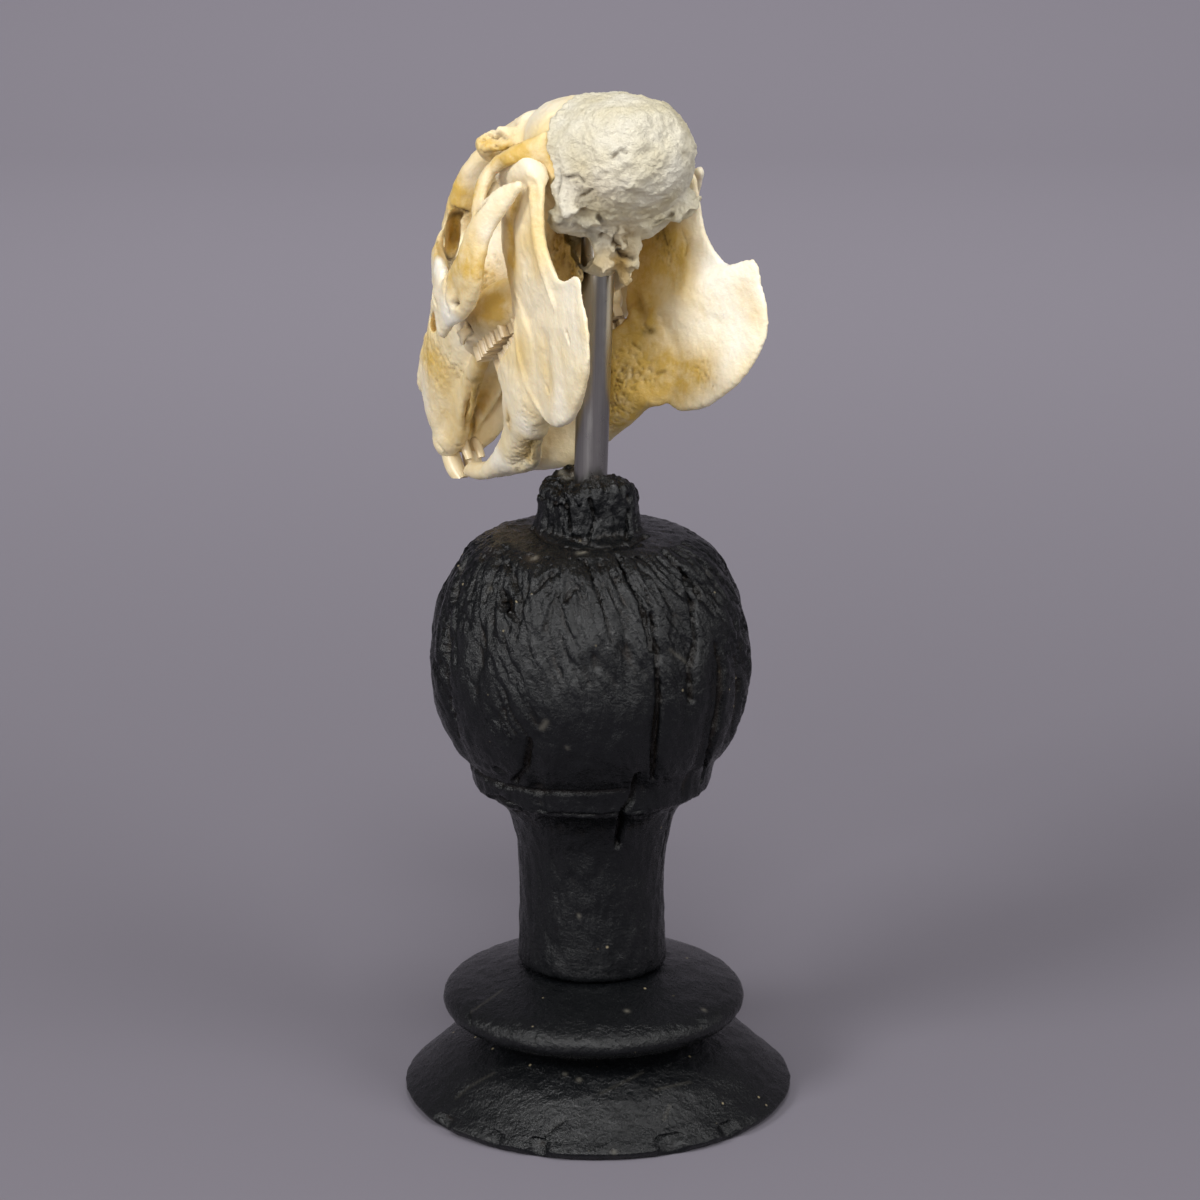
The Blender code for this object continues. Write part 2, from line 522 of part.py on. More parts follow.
def build():
    clear_scene()
    parts = make_collection("rabbit_skull_on_stand")
    cutters = make_collection("cutters")
    bone = make_material("bone", (0.79, 0.68, 0.47), 0.5)
    tooth = make_material("tooth", (0.84, 0.78, 0.62), 0.3)
    plaster = make_material("plaster", (0.68, 0.65, 0.55), 0.9)
    wood = make_material("blackened_wood", (0.018, 0.018, 0.02), 0.45)
    steel = make_material("steel", (0.42, 0.42, 0.43), 0.35, 1.0)

    pose = bpy.data.objects.new("skull_pose", None)
    parts.objects.link(pose)
    pose.location = SKULL_AT * MM
    angles = (math.radians(a) for a in (SKULL_ROLL, SKULL_NOSE_DOWN, SKULL_HEADING))
    pose.rotation_euler = Euler(tuple(angles), "XYZ")

    rod = add_object("rod", rod_mesh("rod", ROD_RADIUS, ROD_LENGTH, ROD_SIDES), parts, steel)
    stand_rod(rod)
    rod_gap = rod_mesh("rod_gap", ROD_RADIUS + GAP, ROD_LENGTH + 2 * GAP, ROD_SIDES)
    rod_hole = as_cutter(add_object("rod_hole", rod_gap, cutters))
    stand_rod(rod_hole)
    rod_hole.location.z -= GAP * MM

    column = turned("stand_column", COLUMN_PROFILE, parts, wood)
    carve_column(column)
    cut(column, rod_hole)
    foot = turned("stand_foot", FOOT_PROFILE, parts, wood)
    carve_foot(foot)

    fill = add_object("plaster_fill", plaster_lumps(), parts, plaster, pose)
    grown_together(fill, BONE_VOXEL, 3, PLASTER_FACES)
    fill_gap = as_cutter(add_object("plaster_room", fill.data.copy(), cutters, None, pose))
    grown_together(fill_gap, BONE_VOXEL, 3, PLASTER_FACES, SEAT_GAP)
    cut(fill, rod_hole)

    cranium = add_object("cranium", cranium_lumps(), parts, bone, pose)
    grown_together(cranium, BONE_VOXEL, 4, CRANIUM_FACES)
    cut(cranium, fill_gap)

    for label, side in (("left", 1), ("right", -1)):
        jaw = add_object("mandible_" + label, jaw_lumps(side), parts, bone, pose)
        grown_together(jaw, BONE_VOXEL, 3, JAW_FACES)

        upper_socket = socket_mesh(UPPER_ROW, UPPER_CHEWING - 2, UPPER_ROOT + GAP, side)
        upper_socket = as_cutter(add_object("upper_socket_" + label, upper_socket, cutters, None, pose))
        cut(cranium, upper_socket)
        room = as_cutter(add_object("joint_room_" + label, joint_room(side), cutters, None, pose))
        grown_together(room, BONE_VOXEL, 1, JOINT_FACES)
        cut(cranium, room)
        lower_socket = socket_mesh(LOWER_ROW, LOWER_ROOT - GAP, LOWER_CHEWING + 2, side)
        lower_socket = as_cutter(add_object("lower_socket_" + label, lower_socket, cutters, None, pose))
        cut(jaw, lower_socket)
        for k, (x, y, long, wide) in enumerate(UPPER_ROW, 1):
            name = "upper_cheek_tooth_%s_%d" % (label, k)
            mesh = tooth_mesh(name, x, y, long - GAP / 2, wide, UPPER_CHEWING, UPPER_ROOT, side)
            add_object(name, mesh, parts, tooth, pose)
        for k, (x, y, long, wide) in enumerate(LOWER_ROW, 1):
            name = "lower_cheek_tooth_%s_%d" % (label, k)
            mesh = tooth_mesh(name, x, y, long - GAP / 2, wide, LOWER_ROOT, LOWER_CHEWING, side)
            add_object(name, mesh, parts, tooth, pose)

        for kind, points, radii, holder in (("upper_incisor", INCISOR_UP, INCISOR_UP_R, cranium),
                                            ("peg_tooth", PEG, PEG_R, cranium),
                                            ("lower_incisor", INCISOR_LOW, INCISOR_LOW_R, jaw)):
            name = kind + "_" + label
            add_object(name, curved_tooth(name, points, radii, side), parts, tooth, pose)
            hole = curved_tooth(name + "_hole", points, radii, side, GAP)
            hole = as_cutter(add_object(name + "_hole", hole, cutters, None, pose))
            cut(holder, hole)

    for obj in parts.objects:
        if obj.type == "MESH" and not obj.name.startswith(("cranium", "mandible", "plaster")):
            obj.data.shade_smooth()
            obj.data.set_sharp_from_angle(angle=math.radians(40))


build()
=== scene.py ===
# %% [markdown]
# A rabbit skull held up on a steel rod in an old blackened wooden stand. The packed
# model comes in first as a fixed frame, so every piece made here goes where the solids
# already are.

# %% Load the frame
import math

import bmesh
import bpy
import numpy as np
from mathutils import Euler, Matrix, Vector, noise
from mathutils.bvhtree import BVHTree


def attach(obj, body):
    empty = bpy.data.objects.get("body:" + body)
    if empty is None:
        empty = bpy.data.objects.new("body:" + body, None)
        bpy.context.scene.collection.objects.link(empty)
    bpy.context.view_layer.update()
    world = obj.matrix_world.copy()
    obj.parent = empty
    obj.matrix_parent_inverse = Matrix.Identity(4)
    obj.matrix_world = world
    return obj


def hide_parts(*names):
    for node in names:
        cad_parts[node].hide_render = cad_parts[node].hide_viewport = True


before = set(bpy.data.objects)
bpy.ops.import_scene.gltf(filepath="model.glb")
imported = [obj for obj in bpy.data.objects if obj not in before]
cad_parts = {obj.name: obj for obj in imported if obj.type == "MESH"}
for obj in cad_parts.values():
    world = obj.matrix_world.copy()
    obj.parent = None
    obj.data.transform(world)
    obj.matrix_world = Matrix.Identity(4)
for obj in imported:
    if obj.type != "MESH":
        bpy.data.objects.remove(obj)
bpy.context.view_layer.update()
MM = 0.001

# %% [markdown]
# The camera comes early, because marks such as cracks and stains are placed by where
# they show in the photograph: a point of the picture becomes a ray, and the mark goes
# where that ray meets the piece. A long lens far away keeps the shapes nearly square on.

# %% Camera
PICTURE = 1200                  # pixels across and down
FOCAL = 3400                    # pixels
camera_data = bpy.data.cameras.new("camera")
camera_data.sensor_width = 36
camera_data.lens = 36 * FOCAL / PICTURE
camera_data.clip_start = 0.01
camera = bpy.data.objects.new("camera", camera_data)
bpy.context.scene.collection.objects.link(camera)
camera.location = Vector((0.31, -542.85, 231.36)) * MM
camera.rotation_euler = Euler((math.radians(75), 0, 0))
bpy.context.scene.camera = camera
bpy.context.scene.view_settings.view_transform = "Standard"
EYE = camera.location.copy()
LOOK = camera.rotation_euler.to_matrix()


def sight(u, v):
    """The direction from the camera through a point of the picture."""
    half = PICTURE / 2
    return (LOOK @ Vector(((u - half) / FOCAL, (half - v) / FOCAL, -1))).normalized()


def seen_on(tree, u, v):
    """Where a piece shows at a point of the picture, or its nearest point to that sight line."""
    hit = tree.ray_cast(EYE, sight(u, v))[0]
    if hit is None:
        hit = tree.find_nearest(EYE + sight(u, v) * 0.55)[0]
    return hit / MM


print("lens", round(camera_data.lens, 1), "mm")

# %% [markdown]
# Two helpers carry every material: one turns a hex colour as a painter would pick it
# into the linear value that the renderer needs, the other adds a node to a material
# with its settings and its links in one line.

# %% Colour and node helpers


def tone(code):
    """An sRGB hex colour as linear RGBA."""
    parts = [int(code[k:k + 2], 16) / 255 for k in (0, 2, 4)]
    return (*(c / 12.92 if c <= 0.04045 else ((c + 0.055) / 1.055) ** 2.4 for c in parts), 1)


def add(material, kind, inputs, **settings):
    """Adds a node to a material; each input takes a value or another node's output."""
    node = material.node_tree.nodes.new("ShaderNode" + kind)
    for name, value in settings.items():
        setattr(node, name, value)
    for socket, value in inputs.items():
        if isinstance(value, bpy.types.NodeSocket):
            material.node_tree.links.new(value, node.inputs[socket])
        else:
            node.inputs[socket].default_value = value
    return node


def finish_named(name, **sockets):
    """A new material whose shader's own sockets are set; returns it with its shader."""
    material = bpy.data.materials.new(name)
    material.use_nodes = True
    shader = material.node_tree.nodes["Principled BSDF"]
    for socket, value in sockets.items():
        shader.inputs[socket.replace("_", " ")].default_value = value
    return material, shader


def per(size):
    """The texture scale at which a pattern repeats about every so many millimetres."""
    return 1000 / size


print("white is", tone("FFFFFF"))

# %% [markdown]
# Bone cleaned by maceration is ivory where it is thick and dense, yellow where fat has
# stayed in it, and brown in the hollows. The mottling comes from noise a few millimetres
# wide; the stains come from values stored on the vertices, so they sit exactly where the
# real ones are, and the same values carry painted shade at the bottoms of cracks and in
# small holes. A little light goes into bone, which softens its shadows.

# %% Dry bone
bone, shader = finish_named("dry_bone", Roughness=0.52, IOR=1.55, Subsurface_Weight=0.12,
                            Subsurface_Radius=(1.0, 0.6, 0.3), Subsurface_Scale=0.0018)
place = add(bone, "TexCoord", {}).outputs["Object"]
clouds = add(bone, "TexNoise", {"Vector": place, "Scale": per(11), "Detail": 4.0}).outputs["Fac"]
blots = add(bone, "TexNoise", {"Vector": place, "Scale": per(2.2), "Detail": 6.0,
                               "Roughness": 0.65}).outputs["Fac"]
pores = add(bone, "TexNoise", {"Vector": place, "Scale": per(0.55), "Detail": 3.0}).outputs["Fac"]
warm = add(bone, "MapRange", {"Value": clouds, "From Min": 0.4, "From Max": 0.68}).outputs[0]
colour = add(bone, "Mix", {0: warm, 6: tone("F0E3C4"), 7: tone("E2CB95")}, data_type="RGBA").outputs[2]
stains = {}
# The brown value holds real stains and also painted shade at the bottoms of cracks and in small holes.
for kind, code, low, high in (("pale", "F6F0E0", 0.2, 0.5), ("ochre", "D0AC55", 0.3, 0.62),
                              ("brown", "3A2009", 0.34, 0.6)):
    amount = add(bone, "Attribute", {}, attribute_name=kind).outputs["Fac"]
    broken = add(bone, "MapRange", {"Value": blots, "From Min": low, "From Max": high,
                                    "To Min": 0.55, "To Max": 1.15}).outputs[0]
    share = add(bone, "Math", {0: amount, 1: broken}, operation="MULTIPLY", use_clamp=True).outputs[0]
    colour = add(bone, "Mix", {0: share, 6: colour, 7: tone(code)}, data_type="RGBA").outputs[2]
bone.node_tree.links.new(colour, shader.inputs["Base Color"])
ripples = add(bone, "Math", {0: blots, 1: pores}, operation="ADD").outputs[0]
bump = add(bone, "Bump", {"Height": ripples, "Strength": 0.25, "Distance": 0.0004}).outputs[0]
bone.node_tree.links.new(bump, shader.inputs["Normal"])
print(bone.name, len(bone.node_tree.nodes), "nodes")

# %% [markdown]
# Teeth are enamel over dentine: smoother and glossier than bone, whiter on the sides and
# brown on the chewing face. The face's brown follows the height on the tooth, stored as
# the same vertex value that the bone uses.

# %% Tooth enamel
enamel, shader = finish_named("tooth_enamel", Roughness=0.36, IOR=1.62, Subsurface_Weight=0.1,
                              Subsurface_Radius=(1.0, 0.7, 0.4), Subsurface_Scale=0.001)
place = add(enamel, "TexCoord", {}).outputs["Object"]
streaks = add(enamel, "TexNoise", {"Vector": place, "Scale": per(1.4), "Detail": 4.0}).outputs["Fac"]
colour = add(enamel, "Mix", {0: streaks, 6: tone("F2E4C2"), 7: tone("DFC591")}, data_type="RGBA").outputs[2]
worn = add(enamel, "Attribute", {}, attribute_name="brown").outputs["Fac"]
colour = add(enamel, "Mix", {0: worn, 6: colour, 7: tone("8A5F30")}, data_type="RGBA").outputs[2]
enamel.node_tree.links.new(colour, shader.inputs["Base Color"])
bump = add(enamel, "Bump", {"Height": streaks, "Strength": 0.15, "Distance": 0.0002}).outputs[0]
enamel.node_tree.links.new(bump, shader.inputs["Normal"])
print(enamel.name, len(enamel.node_tree.nodes), "nodes")

# %% [markdown]
# Plaster pressed in by hand is chalky and matt, with grains and thumb marks. The grains
# are really finer than the picture can show, so they are drawn about 0.4 mm wide.

# %% Hand-pressed plaster
plaster, shader = finish_named("hand_pressed_plaster", Roughness=0.92, IOR=1.5)
place = add(plaster, "TexCoord", {}).outputs["Object"]
patches = add(plaster, "TexNoise", {"Vector": place, "Scale": per(7), "Detail": 6.0}).outputs["Fac"]
grains = add(plaster, "TexNoise", {"Vector": place, "Scale": per(0.7), "Detail": 5.0,
                                   "Roughness": 0.7}).outputs["Fac"]
shade = add(plaster, "MapRange", {"Value": patches, "From Min": 0.38, "From Max": 0.66}).outputs[0]
colour = add(plaster, "Mix", {0: shade, 6: tone("F6EFDA"), 7: tone("E6DBB9")}, data_type="RGBA").outputs[2]
# The brown value holds brown stains and also painted shade at the bottoms of cracks.
for kind, code in (("pale", "F1EDE0"), ("ochre", "C9A868"), ("brown", "3B2612")):
    amount = add(plaster, "Attribute", {}, attribute_name=kind).outputs["Fac"]
    colour = add(plaster, "Mix", {0: amount, 6: colour, 7: tone(code)}, data_type="RGBA").outputs[2]
plaster.node_tree.links.new(colour, shader.inputs["Base Color"])
bump = add(plaster, "Bump", {"Height": grains, "Strength": 1.0, "Distance": 0.001}).outputs[0]
plaster.node_tree.links.new(bump, shader.inputs["Normal"])
print(plaster.name, len(plaster.node_tree.nodes), "nodes")

# %% [markdown]
# The stand is turned wood stained black and waxed: almost black, a bluish grey sheen on
# the ridges, grain running upwards, and pale flecks where the finish has chipped. Raw
# brown wood shows through in a few places, again by a value stored on the vertices.

# %% Blackened waxed wood
wood, shader = finish_named("blackened_waxed_wood", IOR=1.37)
place = add(wood, "TexCoord", {}).outputs["Object"]
upright = add(wood, "Mapping", {"Vector": place, "Scale": (1.0, 1.0, 0.12)}).outputs[0]
grain = add(wood, "TexNoise", {"Vector": upright, "Scale": per(0.8), "Detail": 5.0,
                               "Roughness": 0.6}).outputs["Fac"]
crumbs = add(wood, "TexNoise", {"Vector": place, "Scale": per(0.6), "Detail": 7.0,
                                "Roughness": 0.72}).outputs["Fac"]
rubbed = add(wood, "TexNoise", {"Vector": place, "Scale": per(9), "Detail": 3.0}).outputs["Fac"]
colour = add(wood, "Mix", {0: crumbs, 6: tone("040405"), 7: tone("101214")}, data_type="RGBA").outputs[2]
dots = add(wood, "TexVoronoi", {"Vector": place, "Scale": per(3.4)}).outputs
small = add(wood, "MapRange", {"Value": dots["Distance"], "From Min": 0.085, "From Max": 0.05}).outputs[0]
rare = add(wood, "MapRange", {"Value": rubbed, "From Min": 0.52, "From Max": 0.56}).outputs[0]
fleck = add(wood, "Math", {0: small, 1: rare}, operation="MULTIPLY").outputs[0]
colour = add(wood, "Mix", {0: fleck, 6: colour, 7: tone("7D735C")}, data_type="RGBA").outputs[2]
# The brown value makes the wood near black: painted shade at the bottoms of the cracks and gouges.
for kind, code in (("ochre", "3A2F24"), ("pale", "6E6A60"), ("brown", "030303")):
    amount = add(wood, "Attribute", {}, attribute_name=kind).outputs["Fac"]
    colour = add(wood, "Mix", {0: amount, 6: colour, 7: tone(code)}, data_type="RGBA").outputs[2]
wood.node_tree.links.new(colour, shader.inputs["Base Color"])
gloss = add(wood, "MapRange", {"Value": crumbs, "From Min": 0.35, "From Max": 0.7,
                               "To Min": 0.16, "To Max": 0.34}).outputs[0]
wood.node_tree.links.new(gloss, shader.inputs["Roughness"])
relief = add(wood, "Math", {0: grain, 1: crumbs}, operation="ADD").outputs[0]
dents = add(wood, "TexNoise", {"Vector": place, "Scale": per(2.4), "Detail": 3.0}).outputs["Fac"]
relief = add(wood, "Math", {0: dents, 1: 2.0, 2: relief}, operation="MULTIPLY_ADD").outputs[0]
bump = add(wood, "Bump", {"Height": relief, "Strength": 0.4, "Distance": 0.0005}).outputs[0]
wood.node_tree.links.new(bump, shader.inputs["Normal"])
print(wood.name, len(wood.node_tree.nodes), "nodes")

# %% [markdown]
# The rod is bright steel drawn through a die, which leaves fine lines along it. They are
# a few hundredths of a millimetre apart on the real rod, so they are drawn coarser here.

# %% Drawn steel
steel, shader = finish_named("drawn_steel", Metallic=1.0, Roughness=0.3)
place = add(steel, "TexCoord", {}).outputs["Object"]
along = add(steel, "Mapping", {"Vector": place, "Scale": (1.0, 1.0, 0.02)}).outputs[0]
lines = add(steel, "TexNoise", {"Vector": along, "Scale": per(0.35), "Detail": 3.0}).outputs["Fac"]
spots = add(steel, "TexNoise", {"Vector": place, "Scale": per(1.6), "Detail": 5.0}).outputs["Fac"]
colour = add(steel, "Mix", {0: lines, 6: tone("A9A6A2"), 7: tone("8B8886")}, data_type="RGBA").outputs[2]
steel.node_tree.links.new(colour, shader.inputs["Base Color"])
gloss = add(steel, "MapRange", {"Value": spots, "To Min": 0.22, "To Max": 0.38}).outputs[0]
steel.node_tree.links.new(gloss, shader.inputs["Roughness"])
bump = add(steel, "Bump", {"Height": lines, "Strength": 0.2, "Distance": 0.0001}).outputs[0]
steel.node_tree.links.new(bump, shader.inputs["Normal"])
print(steel.name, len(steel.node_tree.nodes), "nodes")

# %% [markdown]
# The skull is described in its own frame, in millimetres: x forward from the back of the
# head, y to the animal's left, z up from the chewing line. One matrix carries all of it
# to where the head hangs on the rod, nose down and turned to the camera's left.

# %% Pose of the skull
SKULL = (Matrix.Translation(Vector((17.0, -23.5, 155.5)) * MM)
         @ Euler((math.radians(1), math.radians(34), math.radians(125))).to_matrix().to_4x4()
         @ Matrix.Scale(MM, 4))
SIDES = {"left": 1, "right": -1}
print("tip of the nose at", [round(c / MM, 1) for c in SKULL @ Vector((90, 0, 9))])

# %% [markdown]
# Bones have no straight edges. Each one is laid out as a row of stations, an upper point,
# a lower point and half a thickness, and a smooth curve through them gives the rings in
# between. A ring is a circle pressed a little square, stretched between its two points,
# and bridged to the next one.

# %% A smooth row of stations


def eased(stations, steps=3):
    """Stations with smooth ones added between them (Catmull-Rom)."""
    rows = [[*a, *b, t] for a, b, t in stations]
    made = []
    for k in range(len(rows) - 1):
        before, here = rows[max(k - 1, 0)], rows[k]
        there, after = rows[k + 1], rows[min(k + 2, len(rows) - 1)]
        for step in range(steps):
            s = step / steps
            made.append([0.5 * (2 * q + (r - p) * s + (2 * p - 5 * q + 4 * r - w) * s * s
                                + (3 * q - p - 3 * r + w) * s ** 3)
                         for p, q, r, w in zip(before, here, there, after)])
    made.append(rows[-1])
    return [(Vector(row[:3]), Vector(row[3:6]), row[6]) for row in made]


level = eased([((0, 0, 1), (0, 0, 0), 1), ((10, 0, 2), (10, 0, 0), 1), ((20, 0, 1), (20, 0, 0), 1)])
print("three stations become", len(level), "and the second stays", level[3][0].z, "high")

# %% [markdown]
# A ring starts as a plain circle. Dividing each point by its own distance in a higher
# power squares the circle off, which gives a plate with rounded edges instead of a
# sausage. Bridging joins each ring to the next, and the two ends are closed with a face.

# %% Rings along a bone
RING_POINTS = 32


def ring(bm, first, second, half_thick, square=2.4, across=Vector((0, 1, 0)), segments=RING_POINTS):
    """A squarish ring stretched from first to second; returns its edges."""
    verts = bmesh.ops.create_circle(bm, segments=segments, radius=1)["verts"]
    for vert in verts:
        vert.co /= (abs(vert.co.x) ** square + abs(vert.co.y) ** square) ** (1 / square)
    half = (first - second) / 2
    side = across.normalized() * half_thick
    axes = Matrix((half, side, half.cross(side).normalized())).transposed().to_4x4()
    bmesh.ops.transform(bm, matrix=Matrix.Translation((first + second) / 2) @ axes, verts=verts)
    return list({edge for vert in verts for edge in vert.link_edges})


def skinned(bm, rings):
    """Bridges the rings one to the next and closes both ends."""
    for lower, upper in zip(rings, rings[1:]):
        bmesh.ops.bridge_loops(bm, edges=lower + upper)
    for end in (rings[0], rings[-1]):
        bmesh.ops.edgeloop_fill(bm, edges=end)


def pour(bm, mesh, matrix=Matrix()):
    """Adds what a bmesh holds to a mesh, turned right side out."""
    bmesh.ops.transform(bm, matrix=matrix, verts=bm.verts)
    bmesh.ops.recalc_face_normals(bm, faces=bm.faces)
    bm.from_mesh(mesh)
    bm.to_mesh(mesh)
    bm.free()


def blade(mesh, stations, square=2.4, side=1, steps=3):
    """One bone form added to a mesh; side -1 puts it on the animal's right."""
    bm = bmesh.new()
    skinned(bm, [ring(bm, a, b, t, square) for a, b, t in eased(stations, steps)])
    pour(bm, mesh, Matrix.Diagonal((1, side, 1, 1)))


print("a bone form has", RING_POINTS, "points round it")

# %% [markdown]
# Ridges and front teeth are round in section, so they are bars that follow a bent line.
# Knobs and blobs are stretched spheres. Both overlap the blades, and melting joins them.

# %% Bars and lumps


def bar(mesh, points, radii, side=1, segments=20):
    """A round bar that follows points, none of them running straight across the head."""
    bm = bmesh.new()
    path = eased([(p, p, r) for p, r in zip(points, radii)], 4)
    rings = []
    for k, (point, _, radius) in enumerate(path):
        ahead = path[min(k + 1, len(path) - 1)][0] - path[max(k - 1, 0)][0]
        out = ahead.cross(Vector((0, 1, 0))).normalized()
        rings.append(ring(bm, point + out * radius, point - out * radius, radius, 2.0,
                          out.cross(ahead), segments))
    skinned(bm, rings)
    pour(bm, mesh, Matrix.Diagonal((1, side, 1, 1)))


def lump(mesh, centre, radii):
    """A rounded lump added to a mesh."""
    bm = bmesh.new()
    place = Matrix.Translation(Vector(centre)) @ Matrix.Diagonal((*radii, 1))
    bmesh.ops.create_icosphere(bm, subdivisions=3, radius=1, matrix=place)
    pour(bm, mesh)


trial = bpy.data.meshes.new("trial")
lump(trial, (0, 0, 0), (1, 1, 1))
print("a lump has", len(trial.polygons), "faces")
bpy.data.meshes.remove(trial)

# %% [markdown]
# The overlapping forms are melted into one skin with a fine voxel remesh, smoothed, and
# kept as a plain mesh. The same step closes the skin after holes have been cut in it.

# %% Melting forms together


def piece(name, mesh, *finishes):
    """A new object at the origin that holds this mesh."""
    obj = bpy.data.objects.new(name, mesh)
    bpy.context.scene.collection.objects.link(obj)
    for finish in finishes:
        mesh.materials.append(finish)
    return obj


def settled(obj):
    """Applies the object's modifiers to its mesh."""
    bpy.context.view_layer.update()
    seen = obj.evaluated_get(bpy.context.evaluated_depsgraph_get())
    mesh = bpy.data.meshes.new_from_object(seen)
    old = obj.data
    obj.modifiers.clear()
    obj.data = mesh
    bpy.data.meshes.remove(old)
    return obj


def melted(obj, voxel, rounds):
    """One closed skin of the size of cell given, in mm, smoothed that many rounds."""
    remesh = obj.modifiers.new("melt", "REMESH")
    remesh.mode = "VOXEL"
    remesh.voxel_size = voxel * MM
    ease = obj.modifiers.new("ease", "SMOOTH")
    ease.factor = 0.5
    ease.iterations = rounds
    return settled(obj)


print("ready for", bone.name, "and", plaster.name)

# %% [markdown]
# Openings are cut with a Boolean. All the cutters go into one collection, so one cut
# takes them all out, and the melt after it rounds the rims as wear does.

# %% Cutting openings


def hollowed(obj, cutters):
    """Takes the cutters out of the object and removes them."""
    group = bpy.data.collections.new("cutters")
    for cutter in cutters:
        group.objects.link(cutter)
    cut = obj.modifiers.new("cut", "BOOLEAN")
    cut.operation = "DIFFERENCE"
    cut.operand_type = "COLLECTION"
    cut.collection = group
    cut.solver = "EXACT"
    settled(obj)
    for cutter in cutters:
        bpy.data.objects.remove(cutter, do_unlink=True)
    bpy.data.collections.remove(group)
    return obj


def window(tree, u, v, wide, tall, deep, tilt=0):
    """A rounded cutter, sizes in mm, at the spot of the piece that shows at (u, v)."""
    mesh = bpy.data.meshes.new("window")
    bm = bmesh.new()
    turn = LOOK.to_4x4() @ Matrix.Rotation(math.radians(tilt), 4, "Z")
    place = (Matrix.Translation(seen_on(tree, u, v) * MM) @ turn
             @ Matrix.Diagonal((wide / 2 * MM, tall / 2 * MM, deep * MM, 1)))
    bmesh.ops.create_icosphere(bm, subdivisions=3, radius=1, matrix=place)
    pour(bm, mesh)
    return piece("window", mesh)


def flake(mesh, tree, spot, wide, tall, thick, tilt, anchor=None):
    """A ragged chip that faces the camera at a spot of the picture, as far off as the anchor is."""
    away = (seen_on(tree, *(anchor or spot)) * MM - EYE).length
    bm = bmesh.new()
    base = bmesh.ops.create_circle(bm, cap_ends=True, segments=11, radius=0.5)["verts"]
    for k, vert in enumerate(base):
        vert.co *= 1 + 0.3 * math.sin(k * 2.4 + spot[0])
    top = bmesh.ops.extrude_face_region(bm, geom=bm.faces[:])["geom"]
    bmesh.ops.translate(bm, vec=(0, 0, 1), verts=[part for part in top if isinstance(part, bmesh.types.BMVert)])
    place = (Matrix.Translation(EYE + sight(*spot) * away) @ LOOK.to_4x4()
             @ Matrix.Rotation(math.radians(tilt), 4, "Z") @ Matrix.Diagonal((wide * MM, tall * MM, thick * MM, 1))
             @ Matrix.Translation((0, 0, -0.5)))
    pour(bm, mesh, place)


def tree_of(obj):
    """A search tree of the object's faces, for finding where a sight line meets it."""
    bpy.context.view_layer.update()
    return BVHTree.FromObject(obj, bpy.context.evaluated_depsgraph_get())


downward = 90 - math.degrees(camera.rotation_euler.x)
print("cutters and chips face the camera, which looks down by", round(downward), "degrees")

# %% [markdown]
# Vertex positions are read and written as one table, because a skin has tens of thousands
# of them. Roughness is noise pushed along each vertex's own outward direction: it is real
# relief, so it also shows in the outline.

# %% Reading and roughening a skin


def values_of(mesh, name):
    """One row of three numbers for each vertex: its place or its outward direction."""
    data = np.empty(len(mesh.vertices) * 3)
    mesh.vertices.foreach_get(name, data)
    return data.reshape(-1, 3)


def moved_to(mesh, spots):
    """Puts each vertex at its new place, given in mm."""
    mesh.vertices.foreach_set("co", (spots * MM).ravel())
    mesh.update()


def roughened(mesh, size, depth, seed=0.0, stretch=(1, 1, 1)):
    """Noise of that size pushed into the surface, in mm."""
    spots, outward = values_of(mesh, "co") / MM, values_of(mesh, "normal")
    places = spots / (np.array(stretch) * size) + seed
    heights = np.array([noise.fractal(Vector(p), 0.9, 2.1, 3) for p in places])
    moved_to(mesh, spots + outward * (heights * depth)[:, None])


print("noise in the middle of a cell:", round(noise.fractal(Vector((0.5, 0.5, 0.5)), 0.9, 2.1, 3), 3))

# %% [markdown]
# Small marks are worked into the skin the way a carver or a restorer would: a tool follows
# a path and pushes the surface in, or leaves a stain. A path is a row of points of the
# picture where the photograph shows the mark, or of the skull where it doesn't. Width and
# depth are in millimetres. The skin is also compared with a smoothed copy of itself, and
# what lies below the copy is tinted browner and yellower.

# %% Paths and hollows


def reach(points, path):
    """Distance of each point from a path of short straight runs."""
    best = np.linalg.norm(points - path[0], axis=1)
    for a, b in zip(path, path[1:]):
        run = b - a
        if 1e-6 < np.linalg.norm(run) < 4:
            share = np.clip((points - a) @ run / (run @ run), 0, 1)
            near = np.linalg.norm(points - a - share[:, None] * run, axis=1)
            best = np.minimum(best, near)
    return best


def hollowness(mesh, rounds):
    """How far each vertex lies below its surroundings, in mm."""
    spots, outward = values_of(mesh, "co") / MM, values_of(mesh, "normal")
    ends = np.empty(len(mesh.edges) * 2, int)
    mesh.edges.foreach_get("vertices", ends)
    a, b = ends[0::2], ends[1::2]
    total = len(spots)
    count = np.maximum(np.bincount(a, minlength=total) + np.bincount(b, minlength=total), 1)
    soft = spots.copy()
    for _ in range(rounds):
        soft = np.stack([(np.bincount(a, soft[b, k], total) + np.bincount(b, soft[a, k], total))
                         / count for k in range(3)], axis=1)
    return ((soft - spots) * outward).sum(1)


PICTURE_STEP, SKULL_STEP = 4, 0.8


def trail_on(tree, path):
    """Points of the surface along a path, given as points of the picture or of the skull."""
    trail = []
    for a, b in zip(path, path[1:] or path):
        a, b = Vector(a), Vector(b)
        in_picture = len(a) == 2
        parts = max(1, int((b - a).length / (PICTURE_STEP if in_picture else SKULL_STEP)))
        for point in (a.lerp(b, k / parts) for k in range(parts + 1)):
            on = seen_on(tree, *point) if in_picture else tree.find_nearest(SKULL @ point)[0] / MM
            trail.append(list(on))
    return np.array(trail)


print("paths are followed every", PICTURE_STEP, "pixels or", SKULL_STEP, "mm")
